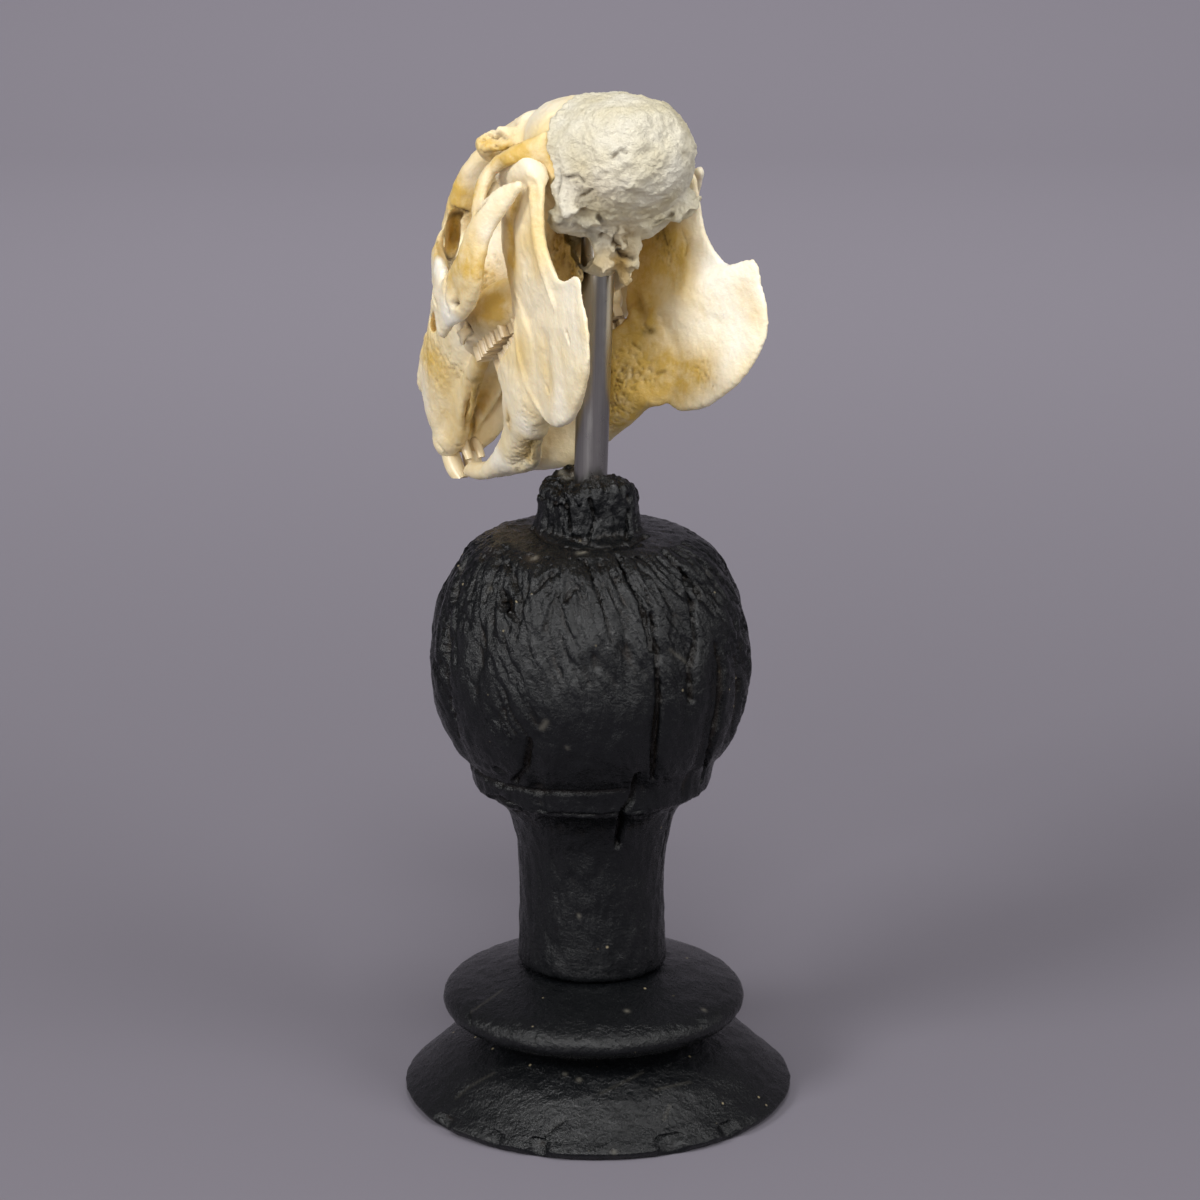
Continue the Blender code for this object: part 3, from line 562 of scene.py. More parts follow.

# %% [markdown]
# Six kinds of mark are enough for the whole object. A cut is a sharp groove with painted
# shade at its bottom, a dip is a soft hollow, a sponge is a patch of small holes with painted
# shade in them, a chip takes a bite out of the foot's rim, and pale, ochre and brown are
# stains. Stains and painted shade are stored on the vertices, where the materials read them.

# %% Carving, staining and painting shade
STAIN_AND_SHADE_LAYERS = ("pale", "ochre", "brown")
HOLLOW_ROUNDS = 24              # how wide a hollow still gets tinted


def marked(obj, marks, hollow_range=(0.0, 1.0)):
    """Works a list of (kind, width, amount, path) into the object's surface."""
    mesh, tree = obj.data, tree_of(obj)
    spots, outward = values_of(mesh, "co") / MM, values_of(mesh, "normal")
    stain_and_shade = {kind: np.zeros(len(spots)) for kind in STAIN_AND_SHADE_LAYERS}
    moved = spots.copy()
    for kind, width, amount, path in marks:
        trail = trail_on(tree, path)
        near = np.flatnonzero(((spots > trail.min(0) - 2 * width)
                               & (spots < trail.max(0) + 2 * width)).all(1))
        far = reach(spots[near], trail) / width
        if kind == "cut":
            moved[near] -= outward[near] * (np.clip(1 - far, 0, 1) * amount)[:, None]
            # The groove's bottom is darkened as painted shade, more for a deeper cut; along a suture it is also the
            # dark seam.
            stain_and_shade["brown"][near] += np.clip(1.1 - far * 1.3, 0, 1) * min(0.75, abs(amount) * 1.1)
        elif kind == "dip":
            moved[near] -= outward[near] * (np.exp(-far ** 2 * 2) * amount)[:, None]
        elif kind == "sponge":
            holes = np.array([noise.noise(Vector(p) * 1.9) for p in spots[near]])
            holes = np.clip(holes * 3 - 0.5, 0, 1) * np.exp(-far ** 4)
            moved[near] -= outward[near] * (holes * amount)[:, None]
            # The small holes are darkened as painted shade, the deeper the darker.
            stain_and_shade["brown"][near] += holes * 0.3
        elif kind == "chip":
            gone = np.exp(-far ** 4) * amount
            moved[near, 2] += gone * 0.5
            moved[near, :2] *= (1 - gone * 0.03)[:, None]
        else:
            stain_and_shade[kind][near] += np.exp(-far ** 2 * 1.5) * amount
    moved_to(mesh, moved)
    # Whatever lies below the smoothed skin is tinted browner and yellower, the more the deeper it lies.
    low, high = hollow_range
    sunk = np.clip((hollowness(mesh, HOLLOW_ROUNDS) - low) / (high - low), 0, 1)
    stain_and_shade["brown"] += sunk * 0.35
    stain_and_shade["ochre"] += sunk * 0.8
    for kind, amounts in stain_and_shade.items():
        layer = mesh.attributes.new(kind, "FLOAT", "POINT")
        layer.data.foreach_set("value", np.clip(amounts, 0, 1).astype(np.float32))
    mesh.shade_smooth()
    print(obj.name, "carries", len(marks), "marks")
    return obj


print("stains:", ", ".join(STAIN_AND_SHADE_LAYERS))

# %% [markdown]
# Every finished piece rides the one body of this object and stands in for its solid.

# %% Handing a piece over


def placed(obj, slot, *nodes):
    """Hands a finished piece to the frame in place of its solids."""
    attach(obj, "root")
    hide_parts(*nodes)
    print(obj.name, len(obj.data.polygons), "faces")
    return obj


print("one body, so no piece moves against another")

# %% [markdown]
# The plaster is one lump: the rebuilt back of the head, a plug that fills the braincase,
# and the ragged blob that grips the top of the rod. It comes first because the bone is
# cut to fit round it.

# %% Plaster stations
PLASTER_DOME = (
    ((4.4, 0.4, 17.6), (6.2, 0.4, 10.4), 4.6), ((6.6, 0.4, 20.6), (8.4, 0.4, 8.2), 7.4),
    ((9.6, 0.3, 23.2), (11.4, 0.3, 7.0), 9.5), ((13.2, 0.2, 25.8), (15.0, 0.2, 6.4), 11.5),
    ((17.4, 0.1, 28.4), (19.6, 0.1, 6.6), 12.8),
)
PLASTER_PLUG = (
    ((15.0, 0, 25.6), (17.0, 0, 7.0), 10.8), ((21.0, 0, 27.8), (24.0, 0, 7.2), 10.8),
    ((27.0, 0, 28.6), (28.0, 0, 11.0), 8.2),
)
PLASTER_LUMPS = (
    ((24.0, 6.5, 10.2), (4.0, 5.2, 3.0)), ((27.0, 1.0, 11.0), (5.6, 5.6, 6.0)),
    ((29.2, 1.2, 6.6), (4.6, 4.5, 4.4)), ((28.2, -2.4, 5.0), (2.6, 2.4, 3.4)),
    ((24.0, -4.6, 8.6), (4.4, 5.6, 2.8)), ((18.6, -9.0, 8.2), (3.0, 3.2, 2.4)),
    ((19.8, 10.4, 12.4), (2.6, 2.6, 3.4)),
)
# Flakes that hang off the lump: where each shows, its width, height, thickness and tilt
PLASTER_FLAKES = (
    ((628, 246), 4.0, 6.2, 1.6, 12), ((603, 262), 3.8, 3.0, 1.8, -20), ((614, 240), 3.4, 4.6, 1.4, 30),
    ((619, 268), 1.6, 6.6, 1.0, 28), ((628, 256), 2.2, 3.0, 1.0, -10), ((592, 246), 2.4, 2.6, 1.2, 40),
    ((560, 214), 3.4, 2.4, 1.8, -15), ((570, 206), 3.0, 3.0, 1.6, 20), ((650, 221), 4.4, 2.4, 1.4, 15),
    ((672, 214), 4.4, 2.2, 1.4, 18), ((690, 206), 3.6, 2.2, 1.6, 25), ((585, 220), 4.6, 2.6, 1.8, -15),
    ((610, 230), 4.6, 2.4, 1.8, -8),
)
PLASTER_MARKS = (
    ("cut", 0.45, 0.5, ((566, 178), (578, 176), (584, 183))),
    ("cut", 0.45, 0.5, ((583, 196), (592, 190))),
    ("cut", 0.4, 0.5, ((557, 195), (561, 180), (560, 172))),
    ("cut", 0.5, 0.5, ((612, 158), (620, 150), (626, 152))),
    ("cut", 0.5, 0.4, ((598, 214), (602, 222))),
    ("cut", 0.6, 0.6, ((655, 224), (664, 221), (672, 214))),
    ("cut", 0.8, 0.8, ((616, 243), (622, 255), (633, 258))),
    ("cut", 0.5, 0.6, ((600, 236), (606, 232))),
    ("cut", 0.5, 0.5, ((618, 228), (612, 244))),
    ("dip", 2.4, 0.35, ((575, 205), (600, 203))), ("dip", 1.6, 0.4, ((648, 150),)),
    ("dip", 2.0, -0.3, ((560, 215), (575, 217))), ("dip", 1.4, 0.3, ((630, 156), (640, 158))),
    ("brown", 0.9, 0.5, ((560, 224), (575, 223), (588, 230), (594, 240))),
    ("ochre", 3.0, 0.5, ((600, 262), (615, 262))), ("ochre", 2.0, 0.7, ((620, 262), (627, 285))),
    ("ochre", 3.0, 0.35, ((625, 232), (632, 245))), ("ochre", 5.0, 0.2, ((580, 185), (600, 190))),
    ("pale", 4.0, 0.5, ((560, 175), (566, 210))), ("pale", 5.0, 0.3, ((650, 125), (670, 150))),
    ("pale", 2.5, 0.6, ((606, 240), (598, 228))),
)
print("plaster:", len(PLASTER_LUMPS), "lumps,", len(PLASTER_FLAKES), "flakes")

# %% [markdown]
# The lump is melted once to be one body, gets its flakes, has two cavities cut beside the
# rod, and is melted again with finer cells. Three sizes of noise follow: thumb marks,
# crumbs and grains. A copy from before the flakes is kept to make room in the bone.

# %% Plaster
mesh = bpy.data.meshes.new("plaster_fill")
blade(mesh, PLASTER_DOME, 2.2)
blade(mesh, PLASTER_PLUG, 2.2)
for centre, radii in PLASTER_LUMPS:
    lump(mesh, centre, radii)
mesh.transform(SKULL)
fill = melted(piece("pressed_fill", mesh, plaster), 0.4, 3)
fill_room = piece("fill_room", fill.data.copy())
tree = tree_of(fill)
for row in PLASTER_FLAKES:
    flake(fill.data, tree, *row)
hollowed(fill, [window(tree, 566, 246, 7.0, 6.0, 5.0), window(tree, 580, 256, 4.6, 7.0, 4.0, -25)])
melted(fill, 0.3, 1)
roughened(fill.data, 5.0, 0.4)
roughened(fill.data, 1.9, 0.3, 7)
roughened(fill.data, 0.8, 0.16, 3)
marked(fill, PLASTER_MARKS, (0.25, 0.9))
placed(fill, "plaster", "plaster_fill")

# %% [markdown]
# The cranium is the largest bone: braincase, brow, snout, palate, cheek arches and the
# thin plates between them. The left brow is broken off to a stump, as on the real skull.

# %% Cranium stations, on the midline
BRAINCASE = (
    ((15.5, 0, 25.0), (16.5, 0, 9.5), 10.0), ((18.5, 0, 28.6), (19.0, 0, 8.2), 12.4),
    ((21.5, 0, 30.2), (21.5, 0, 8.0), 12.8), ((26.0, 0, 31.9), (25.5, 0, 9.0), 11.4),
    ((30.5, 0, 32.6), (29.0, 0, 10.0), 9.2), ((35.0, 0, 33.0), (33.5, 0, 12.0), 7.6),
)
BROW_ROOF = (
    ((29.0, 0, 32.2), (29.0, 0, 26.0), 8.0), ((34.0, 0, 33.0), (34.0, 0, 26.5), 7.6),
    ((38.0, 0, 33.2), (38.0, 0, 27.5), 8.8), ((43.0, 0, 32.6), (43.0, 0, 27.5), 10.2),
    ((47.5, 0, 31.8), (47.5, 0, 25.0), 10.8), ((53.0, 0, 30.3), (53.0, 0, 21.0), 10.6),
    ((58.0, 0, 28.4), (58.0, 0, 18.0), 10.0),
)
ORBIT_WALL = (
    ((30.0, 0, 28.0), (29.0, 0, 10.0), 7.6), ((36.0, 0, 30.0), (34.5, 0, 9.0), 5.6),
    ((43.0, 0, 30.0), (41.5, 0, 9.0), 5.0), ((50.0, 0, 28.0), (49.0, 0, 7.0), 7.2),
    ((56.0, 0, 26.0), (56.0, 0, 4.0), 10.2),
)
SNOUT = (
    ((54.0, 0, 30.0), (54.0, 0, 7.0), 10.6), ((60.0, 0, 27.6), (60.0, 0, 4.6), 10.8),
    ((66.0, 0, 24.8), (66.0, 0, 3.0), 9.4), ((72.0, 0, 21.6), (72.0, 0, 1.8), 8.0),
    ((78.0, 0, 17.8), (78.0, 0, 0.0), 7.0), ((83.0, 0, 14.6), (83.0, 0, -2.0), 6.0),
    ((87.0, 0, 11.8), (87.0, 0, -3.4), 5.0), ((89.2, 0, 9.0), (89.2, 0, -3.6), 3.8),
)
NASAL_TIP = (
    ((79.0, 0, 17.0), (79.0, 0, 13.0), 5.8), ((84.0, 0, 13.9), (84.0, 0, 10.8), 5.2),
    ((88.0, 0, 11.4), (88.0, 0, 8.8), 4.3), ((90.2, 0, 9.9), (90.2, 0, 8.2), 3.2),
)
VOMER = (
    ((62.0, 0, 4.0), (62.0, 0, 1.8), 0.7), ((68.0, 0, 4.0), (68.0, 0, 0.2), 0.7),
    ((76.0, 0, 3.0), (76.0, 0, -1.6), 0.7), ((84.0, 0, 1.0), (84.0, 0, -3.4), 0.8),
)
PALATE = (
    ((45.5, 0, 4.2), (45.5, 0, 2.4), 8.0), ((50.0, 0, 4.4), (50.0, 0, 2.2), 8.0),
    ((55.0, 0, 4.6), (55.0, 0, 2.4), 8.0), ((60.0, 0, 5.0), (60.0, 0, 3.0), 8.0),
)
MIDLINE = ((BRAINCASE, 2.2), (BROW_ROOF, 2.8), (ORBIT_WALL, 2.2), (SNOUT, 2.6), (NASAL_TIP, 2.4),
           (VOMER, 2.2), (PALATE, 3.0))
print("midline forms:", len(MIDLINE))

# %% Cranium stations, one side
PREMAX_RIDGE = (
    ((58.0, 8.6, 5.0), (58.0, 8.6, 1.6), 1.6), ((64.0, 7.2, 4.2), (64.0, 7.2, 0.8), 1.5),
    ((70.0, 5.8, 4.0), (70.0, 5.8, -0.8), 1.5), ((76.0, 4.4, 3.0), (76.0, 4.4, -2.4), 1.5),
    ((82.0, 3.1, 2.0), (82.0, 3.1, -4.2), 1.7), ((87.0, 2.6, 1.0), (87.4, 2.6, -4.4), 2.1),
    ((89.6, 2.3, 1.6), (89.8, 2.3, -3.2), 1.8),
)
CHEEK_BLOCK = (
    ((42.4, 8.9, 8.0), (42.4, 8.9, 3.0), 1.3), ((44.5, 9.4, 9.6), (44.5, 9.4, 2.2), 2.3),
    ((48.0, 10.2, 10.0), (48.0, 10.2, 2.2), 3.3), ((52.0, 10.2, 10.0), (52.0, 10.2, 2.2), 3.4),
    ((57.0, 9.8, 11.0), (57.0, 9.8, 2.4), 3.0), ((60.5, 9.2, 11.0), (60.5, 9.2, 3.2), 2.2),
)
PTERYGOID = (
    ((29.5, 4.4, 12.0), (31.0, 4.6, 2.4), 1.0), ((33.0, 4.6, 12.5), (33.5, 4.8, 1.4), 1.0),
    ((37.0, 4.8, 12.0), (37.0, 5.2, 2.2), 1.0), ((41.0, 6.2, 8.0), (41.0, 6.2, 2.4), 1.2),
    ((45.5, 7.0, 6.0), (45.5, 7.0, 2.6), 1.6),
)
ARCH = (
    ((20.9, 17.4, 16.0), (20.9, 17.4, 14.4), 0.7), ((25.8, 18.6, 17.1), (25.4, 18.6, 12.7), 1.0),
    ((30.2, 19.8, 16.2), (30.3, 19.8, 10.8), 1.1), ((33.6, 20.4, 14.8), (33.2, 20.4, 7.9), 1.2),
    ((37.6, 20.8, 12.8), (36.2, 20.5, 5.2), 1.4), ((41.6, 20.3, 11.8), (40.4, 20.0, 3.6), 1.5),
    ((45.8, 19.7, 11.4), (45.0, 19.4, 3.4), 1.5), ((50.0, 18.8, 11.8), (50.0, 18.8, 4.2), 1.4),
    ((53.2, 18.0, 12.4), (53.8, 18.0, 4.4), 1.2), ((55.2, 17.6, 8.0), (55.2, 18.0, 4.2), 0.7),
)
ARCH_ROOT = (
    ((46.4, 19.3, 12.6), (53.4, 18.0, 8.4), 1.3), ((50.4, 16.6, 17.6), (57.4, 14.8, 11.4), 1.5),
    ((53.8, 13.6, 22.0), (61.0, 12.0, 12.4), 1.6), ((55.4, 9.6, 25.4), (64.0, 8.4, 14.0), 1.6),
)
SQUAMOSAL_ARM = (
    ((17.5, 11.8, 22.4), (19.0, 12.2, 17.6), 1.7), ((22.0, 14.4, 22.8), (22.4, 14.6, 19.4), 1.4),
    ((26.8, 16.4, 22.8), (25.8, 16.4, 20.2), 1.1), ((30.2, 18.0, 21.2), (28.0, 17.9, 19.6), 1.0),
    ((32.2, 19.2, 18.2), (29.6, 19.1, 17.0), 0.9), ((32.8, 19.9, 15.4), (30.6, 19.8, 14.8), 0.9),
)
BROKEN_BROW = (
    ((29.4, 8.2, 29.4), (29.4, 8.2, 25.2), 1.2), ((31.8, 10.8, 30.6), (31.6, 10.4, 26.2), 1.4),
    ((35.0, 12.6, 30.6), (35.2, 12.0, 27.0), 1.3), ((38.8, 8.6, 30.6), (39.0, 8.4, 27.4), 2.2),
)
WHOLE_BROW = (
    ((26.0, 12.6, 27.8), (26.4, 12.4, 26.8), 0.6), ((29.6, 12.8, 29.4), (30.0, 12.6, 28.0), 1.1),
    ((34.0, 11.8, 31.0), (34.4, 11.2, 28.8), 2.4), ((40.0, 11.6, 31.6), (40.4, 11.2, 29.2), 3.0),
    ((45.0, 12.4, 30.8), (45.2, 12.2, 29.0), 1.5), ((47.8, 12.6, 29.8), (47.9, 12.4, 28.8), 0.6),
)
PAIRED = (PREMAX_RIDGE, CHEEK_BLOCK, PTERYGOID, ARCH, ARCH_ROOT, SQUAMOSAL_ARM)
print("forms on each side:", len(PAIRED), "and a brow")

# %% [markdown]
# A rabbit's snout and the wall of its eye socket are pierced by windows and slits. They
# are cut right through the skin with rounded cutters set where each one shows. Pits,
# sutures and stains follow as marks.

# %% Cranium windows and marks: place, width, height, depth, tilt
CRANIUM_WINDOWS = (
    (452, 236, 3.0, 8.6, 6.0, -8), (456, 214, 3.0, 1.8, 5.0, 10), (434, 322, 1.5, 4.2, 6.0, 0),
    (467, 415, 0.8, 9.0, 3.0, 2), (574, 236, 3.4, 2.6, 4.0, 0), (587, 236, 2.2, 3.0, 4.0, 20),
)
# Thin broken plates: spot, width, height, thickness, tilt, and the spot that sets how far off
CRANIUM_PLATES = (
    ((569, 266), 5.6, 8.0, 1.0, 4, (556, 262)), ((580, 282), 2.0, 3.4, 0.9, -8, (556, 262)),
    ((548, 232), 3.0, 5.5, 1.4, 10, (548, 240)), ((466, 334), 2.4, 3.6, 1.0, -20, (466, 325)),
)
CRANIUM_MARKS = (
    ("cut", 0.45, 0.5, ((494, 184), (486, 200), (475, 213))),
    ("cut", 0.5, 0.6, ((427, 265), (431, 290), (436, 305))),
    ("cut", 0.4, 0.45, ((424, 262), (424, 300), (428, 330))),
    ("cut", 0.4, 0.4, ((437, 443), (450, 458), (460, 461))),
    ("cut", 0.4, 0.35, ((458, 446), (464, 444), (470, 452))),
    ("dip", 1.1, 1.8, ((467, 385), (466, 405), (470, 432))), ("cut", 0.5, 0.5, ((480, 385), (474, 415), (473, 440))),
    ("brown", 1.4, 0.4, ((474, 380), (472, 400))), ("ochre", 3.0, 0.8, ((485, 365), (478, 400))),
    ("cut", 0.8, 1.0, ((452, 305), (456, 303))), ("dip", 2.0, 0.45, ((452, 290), (455, 300))),
    ("sponge", 3.4, 0.6, ((427, 350), (440, 352), (434, 372))),
    ("sponge", 2.2, 0.35, ((455, 370), (462, 372))),
    ("sponge", 3.0, 0.4, ((490, 270), (488, 290))),
    ("sponge", 4.0, 0.6, ((560, 245), (575, 275))),
    ("sponge", 2.6, 0.6, ((478, 135), (500, 142))),
    ("cut", 0.5, 0.7, ((480, 130), (492, 128), (506, 138))),
    ("dip", 1.6, 0.9, ((484, 136), (496, 136))),
    ("cut", 0.5, 0.5, ((551, 117), (558, 115))), ("cut", 0.5, 0.5, ((568, 117), (571, 116))),
    ("cut", 0.4, 0.3, ((570, 123), (580, 122))), ("cut", 0.4, 0.3, ((551, 137), (557, 134))),
    ("cut", 0.5, 0.5, ((440, 205), (455, 208), (468, 212))),
    ("dip", 1.8, 0.5, ((436, 235), (440, 252))),
    ("cut", 0.6, 0.7, ((466, 343), (472, 333), (466, 322))),
    ("ochre", 4.0, 0.75, ((438, 205), (455, 200), (470, 210))),
    ("ochre", 3.5, 0.8, ((434, 222), (437, 250))), ("ochre", 4.0, 0.5, ((455, 175), (462, 195))),
    ("ochre", 3.0, 0.8, ((478, 142), (500, 150))), ("ochre", 4.0, 0.5, ((520, 140), (560, 150))),
    ("ochre", 3.0, 0.9, ((500, 160), (520, 158))), ("ochre", 3.0, 0.6, ((555, 165), (548, 195))),
    ("ochre", 4.5, 0.85, ((480, 270), (500, 300))), ("ochre", 3.5, 0.7, ((470, 320), (490, 318))),
    ("ochre", 4.0, 0.6, ((425, 350), (440, 365))), ("ochre", 8.0, 0.5, ((430, 380), (440, 400), (455, 435))),
    ("ochre", 4.0, 0.6, ((450, 285), (458, 295))), ("ochre", 3.0, 0.4, ((470, 240), (462, 265))),
    ("ochre", 6.0, 0.95, ((560, 240), (575, 275))),
    ("ochre", 3.0, 0.6, ((470, 345), (490, 350))), ("ochre", 2.5, 0.6, ((478, 390), (470, 430))),
    ("ochre", 3.0, 0.9, ((455, 222), (449, 250))), ("brown", 1.6, 0.8, ((448, 258), (452, 262))),
    ("brown", 2.2, 0.6, ((560, 228), (590, 240))), ("brown", 1.4, 0.6, ((452, 214), (466, 214))),
    ("brown", 1.4, 0.5, ((496, 178), (500, 165))), ("brown", 2.6, 0.4, ((565, 262), (575, 275))),
    ("brown", 2.4, 0.4, ((468, 318), (474, 325))),
    ("pale", 4.5, 0.4, ((505, 120), (545, 110))), ("pale", 3.0, 0.9, ((432, 262), (448, 270))),
    ("pale", 3.0, 0.7, ((445, 310), (470, 345))), ("pale", 3.0, 0.7, ((424, 380), (426, 400))),
    ("pale", 3.0, 0.6, ((490, 235), (495, 265))), ("pale", 3.0, 0.6, ((475, 180), (480, 195))),
    ("pale", 3.0, 0.7, ((415, 350), (418, 370))), ("pale", 3.0, 0.5, ((700, 175), (704, 190))),
)
print("windows:", len(CRANIUM_WINDOWS), "broken plates:", len(CRANIUM_PLATES))

# %% [markdown]
# What the picture doesn't show comes from the animal, by points of the skull: the sutures,
# the lattice of small openings in the side of a rabbit's snout, the nerve openings and the
# yellow of old fat.

# %% Cranium marks out of sight
CRANIUM_FAR_MARKS = [
    ("cut", 0.45, 0.35, ((38, 0.0, 36), (48, 0.4, 35), (58, -0.3, 31), (66, 0.3, 28), (76, -0.2, 22), (86, 0.0, 15))),
    ("cut", 0.45, 0.4, ((53, -10, 32), (57, -7, 31), (59, -3, 31), (62, 0, 30), (59, 3, 31), (57, 7, 31),
                        (53, 10, 32))),
    ("cut", 0.4, 0.3, ((33, -8, 34), (35, -3, 35), (34, 3, 35), (33, 8, 34))),
    ("cut", 0.4, 0.35, ((60, -10, 24), (68, -9, 19), (78, -8, 12), (84, -7, 6))),
    ("cut", 1.0, 1.0, ((61, -12, 9), (61.6, -12, 9.6))), ("cut", 0.8, 0.8, ((51, -12, 20), (51.6, -12, 21))),
    ("ochre", 5.0, 0.5, ((52, -13, 12), (60, -12, 8))), ("ochre", 4.0, 0.6, ((46, -11, 26), (52, -11, 22))),
    ("ochre", 5.0, 0.4, ((72, -9, 10), (84, -7, 4))), ("ochre", 4.0, 0.5, ((40, -22, 8), (46, -21, 6))),
    ("sponge", 5.0, 0.25, ((60, -4, 30), (60, 4, 30))), ("pale", 6.0, 0.5, ((44, -4, 35), (46, 4, 35))),
]
CRANIUM_FAR_MARKS += [
    ("cut", 0.62, 1.0, ((x, -12, z), (x + 1.0, -12, z - 0.6)))
    for row in range(5) for x, z in ((60.5 + 2.3 * k + 0.9 * (row % 2) + 0.4 * math.sin(5 * k + row),
                                      19.5 - 2.3 * row - 1.05 * k + 0.4 * math.sin(3 * k)) for k in range(5))
]
print("cranium marks:", len(CRANIUM_MARKS), "seen and", len(CRANIUM_FAR_MARKS), "out of sight")

# %% [markdown]
# The forms are melted, then the windows, the nose opening and the room that the plaster
# fills are cut out together, and a second melt closes the skin again.

# %% Cranium
mesh = bpy.data.meshes.new("cranium")
for stations, square in (*MIDLINE, (BROKEN_BROW, 2.4)):
    blade(mesh, stations, square)
blade(mesh, WHOLE_BROW, side=-1)
for side in SIDES.values():
    for stations in PAIRED:
        blade(mesh, stations, side=side)
mesh.transform(SKULL)
cranium = melted(piece("cranium_bone", mesh, bone), 0.45, 3)
tree = tree_of(cranium)
for row in CRANIUM_PLATES:
    flake(cranium.data, tree, *row)
windows = [window(tree, *row) for row in CRANIUM_WINDOWS]
nose = bpy.data.meshes.new("nose_opening")
lump(nose, (92.5, 0, 6.2), (6.0, 2.9, 2.3))
nose.transform(SKULL)
windows.append(piece("nose_opening", nose))
hollowed(cranium, windows + [fill_room])
melted(cranium, 0.4, 2)
roughened(cranium.data, 6.0, 0.22)
roughened(cranium.data, 1.5, 0.1, 3)
marked(cranium, [*CRANIUM_MARKS, *CRANIUM_FAR_MARKS], (0.3, 1.3))
placed(cranium, "bone", "cranium")

# %% [markdown]
# Each half of the lower jaw is a thin upright plate behind, the ramus, and a thicker bar
# in front that holds the teeth. Both halves come from the same stations, and the right
# one is mirrored across the head.

# %% Lower jaw stations
RAMUS = (
    ((32.6, 12.9, 20.4), (20.6, 13.8, 17.6), 1.6), ((33.6, 13.0, 18.0), (19.6, 14.6, 13.6), 1.2),
    ((35.6, 13.0, 15.2), (20.8, 15.1, 10.6), 1.1), ((37.6, 12.9, 12.4), (22.2, 15.4, 7.4), 1.1),
    ((39.4, 12.2, 9.8), (22.9, 15.5, 4.2), 1.1), ((41.4, 11.5, 6.2), (22.2, 15.9, 0.6), 1.1),
    ((43.6, 11.2, 2.8), (20.4, 16.3, -2.2), 0.9), ((44.4, 11.0, -1.0), (15.2, 16.9, -3.8), 0.9),
    ((44.8, 11.4, -5.0), (15.8, 17.2, -8.0), 0.9), ((44.8, 11.6, -9.0), (16.8, 17.3, -12.4), 0.9),
    ((44.2, 11.8, -13.0), (19.4, 17.0, -16.2), 1.0), ((42.8, 12.1, -16.2), (25.0, 15.8, -19.2), 1.1),
    ((41.2, 12.3, -18.2), (31.0, 14.4, -20.4), 1.0), ((39.0, 12.7, -19.2), (34.8, 13.6, -20.4), 0.8),
)
CONDYLE = (
    ((19.6, 14.2, 16.8), (19.8, 14.3, 14.0), 1.2), ((21.0, 13.8, 20.0), (21.4, 13.9, 15.4), 2.0),
    ((25.6, 13.4, 21.8), (25.6, 13.4, 17.0), 2.1), ((30.0, 13.2, 22.8), (29.6, 13.2, 19.0), 1.7),
    ((32.8, 13.1, 22.2), (32.5, 13.1, 20.6), 0.9),
)
JAW_BODY = (
    ((38.0, 12.6, 6.0), (37.0, 12.8, -12.0), 1.1), ((42.4, 11.2, 1.2), (42.0, 11.4, -16.2), 1.8),
    ((46.0, 9.5, -1.4), (46.0, 9.8, -15.4), 3.2), ((50.4, 8.6, -2.6), (50.4, 8.7, -16.0), 3.4),
    ((54.6, 7.6, -3.2), (55.0, 7.4, -16.6), 3.2), ((57.8, 6.6, -3.8), (58.4, 6.2, -17.2), 2.8),
    ((60.8, 5.3, -6.4), (61.0, 4.9, -17.6), 2.8), ((64.6, 4.2, -8.4), (64.2, 3.8, -17.2), 3.0),
    ((68.6, 3.2, -9.0), (68.4, 3.0, -15.8), 2.7), ((73.0, 2.6, -9.6), (73.0, 2.5, -14.0), 2.2),
    ((77.6, 2.1, -9.9), (77.6, 2.1, -12.8), 1.7), ((80.0, 2.0, -9.8), (80.0, 2.0, -12.2), 1.4),
)
SOCKET_CREST = (
    ((42.6, 11.0, -0.2), (42.6, 10.8, -8.0), 1.4), ((45.5, 9.7, -0.8), (45.5, 9.7, -8.0), 2.6),
    ((49.0, 9.0, -1.0), (49.0, 9.0, -8.0), 2.7), ((52.6, 8.3, -1.2), (52.6, 8.3, -8.0), 2.6),
    ((55.8, 7.4, -1.5), (55.8, 7.4, -8.0), 2.3), ((57.6, 6.9, -3.0), (57.6, 6.9, -8.0), 1.6),
)
MASSETER_RIM = ((41.5, 12.2, 1.0), (43.2, 12.4, -4.0), (43.9, 12.4, -9.6), (43.0, 12.4, -14.0),
                (41.2, 12.6, -17.4))
REAR_RIDGE = ((21.6, 14.4, 15.6), (22.8, 15.2, 11.0), (24.4, 15.6, 5.6), (25.0, 15.8, 0.0),
              (25.6, 15.9, -5.0))
JAW_FORMS = ((RAMUS, 2.4), (CONDYLE, 2.4), (JAW_BODY, 2.3), (SOCKET_CREST, 3.6))
JAW_RIDGES = ((MASSETER_RIM, (0.5, 0.8, 0.8, 0.7, 0.5)), (REAR_RIDGE, (1.2, 1.1, 0.9, 0.7, 0.4)))
print("jaw forms:", len(JAW_FORMS), "ridges:", len(JAW_RIDGES))

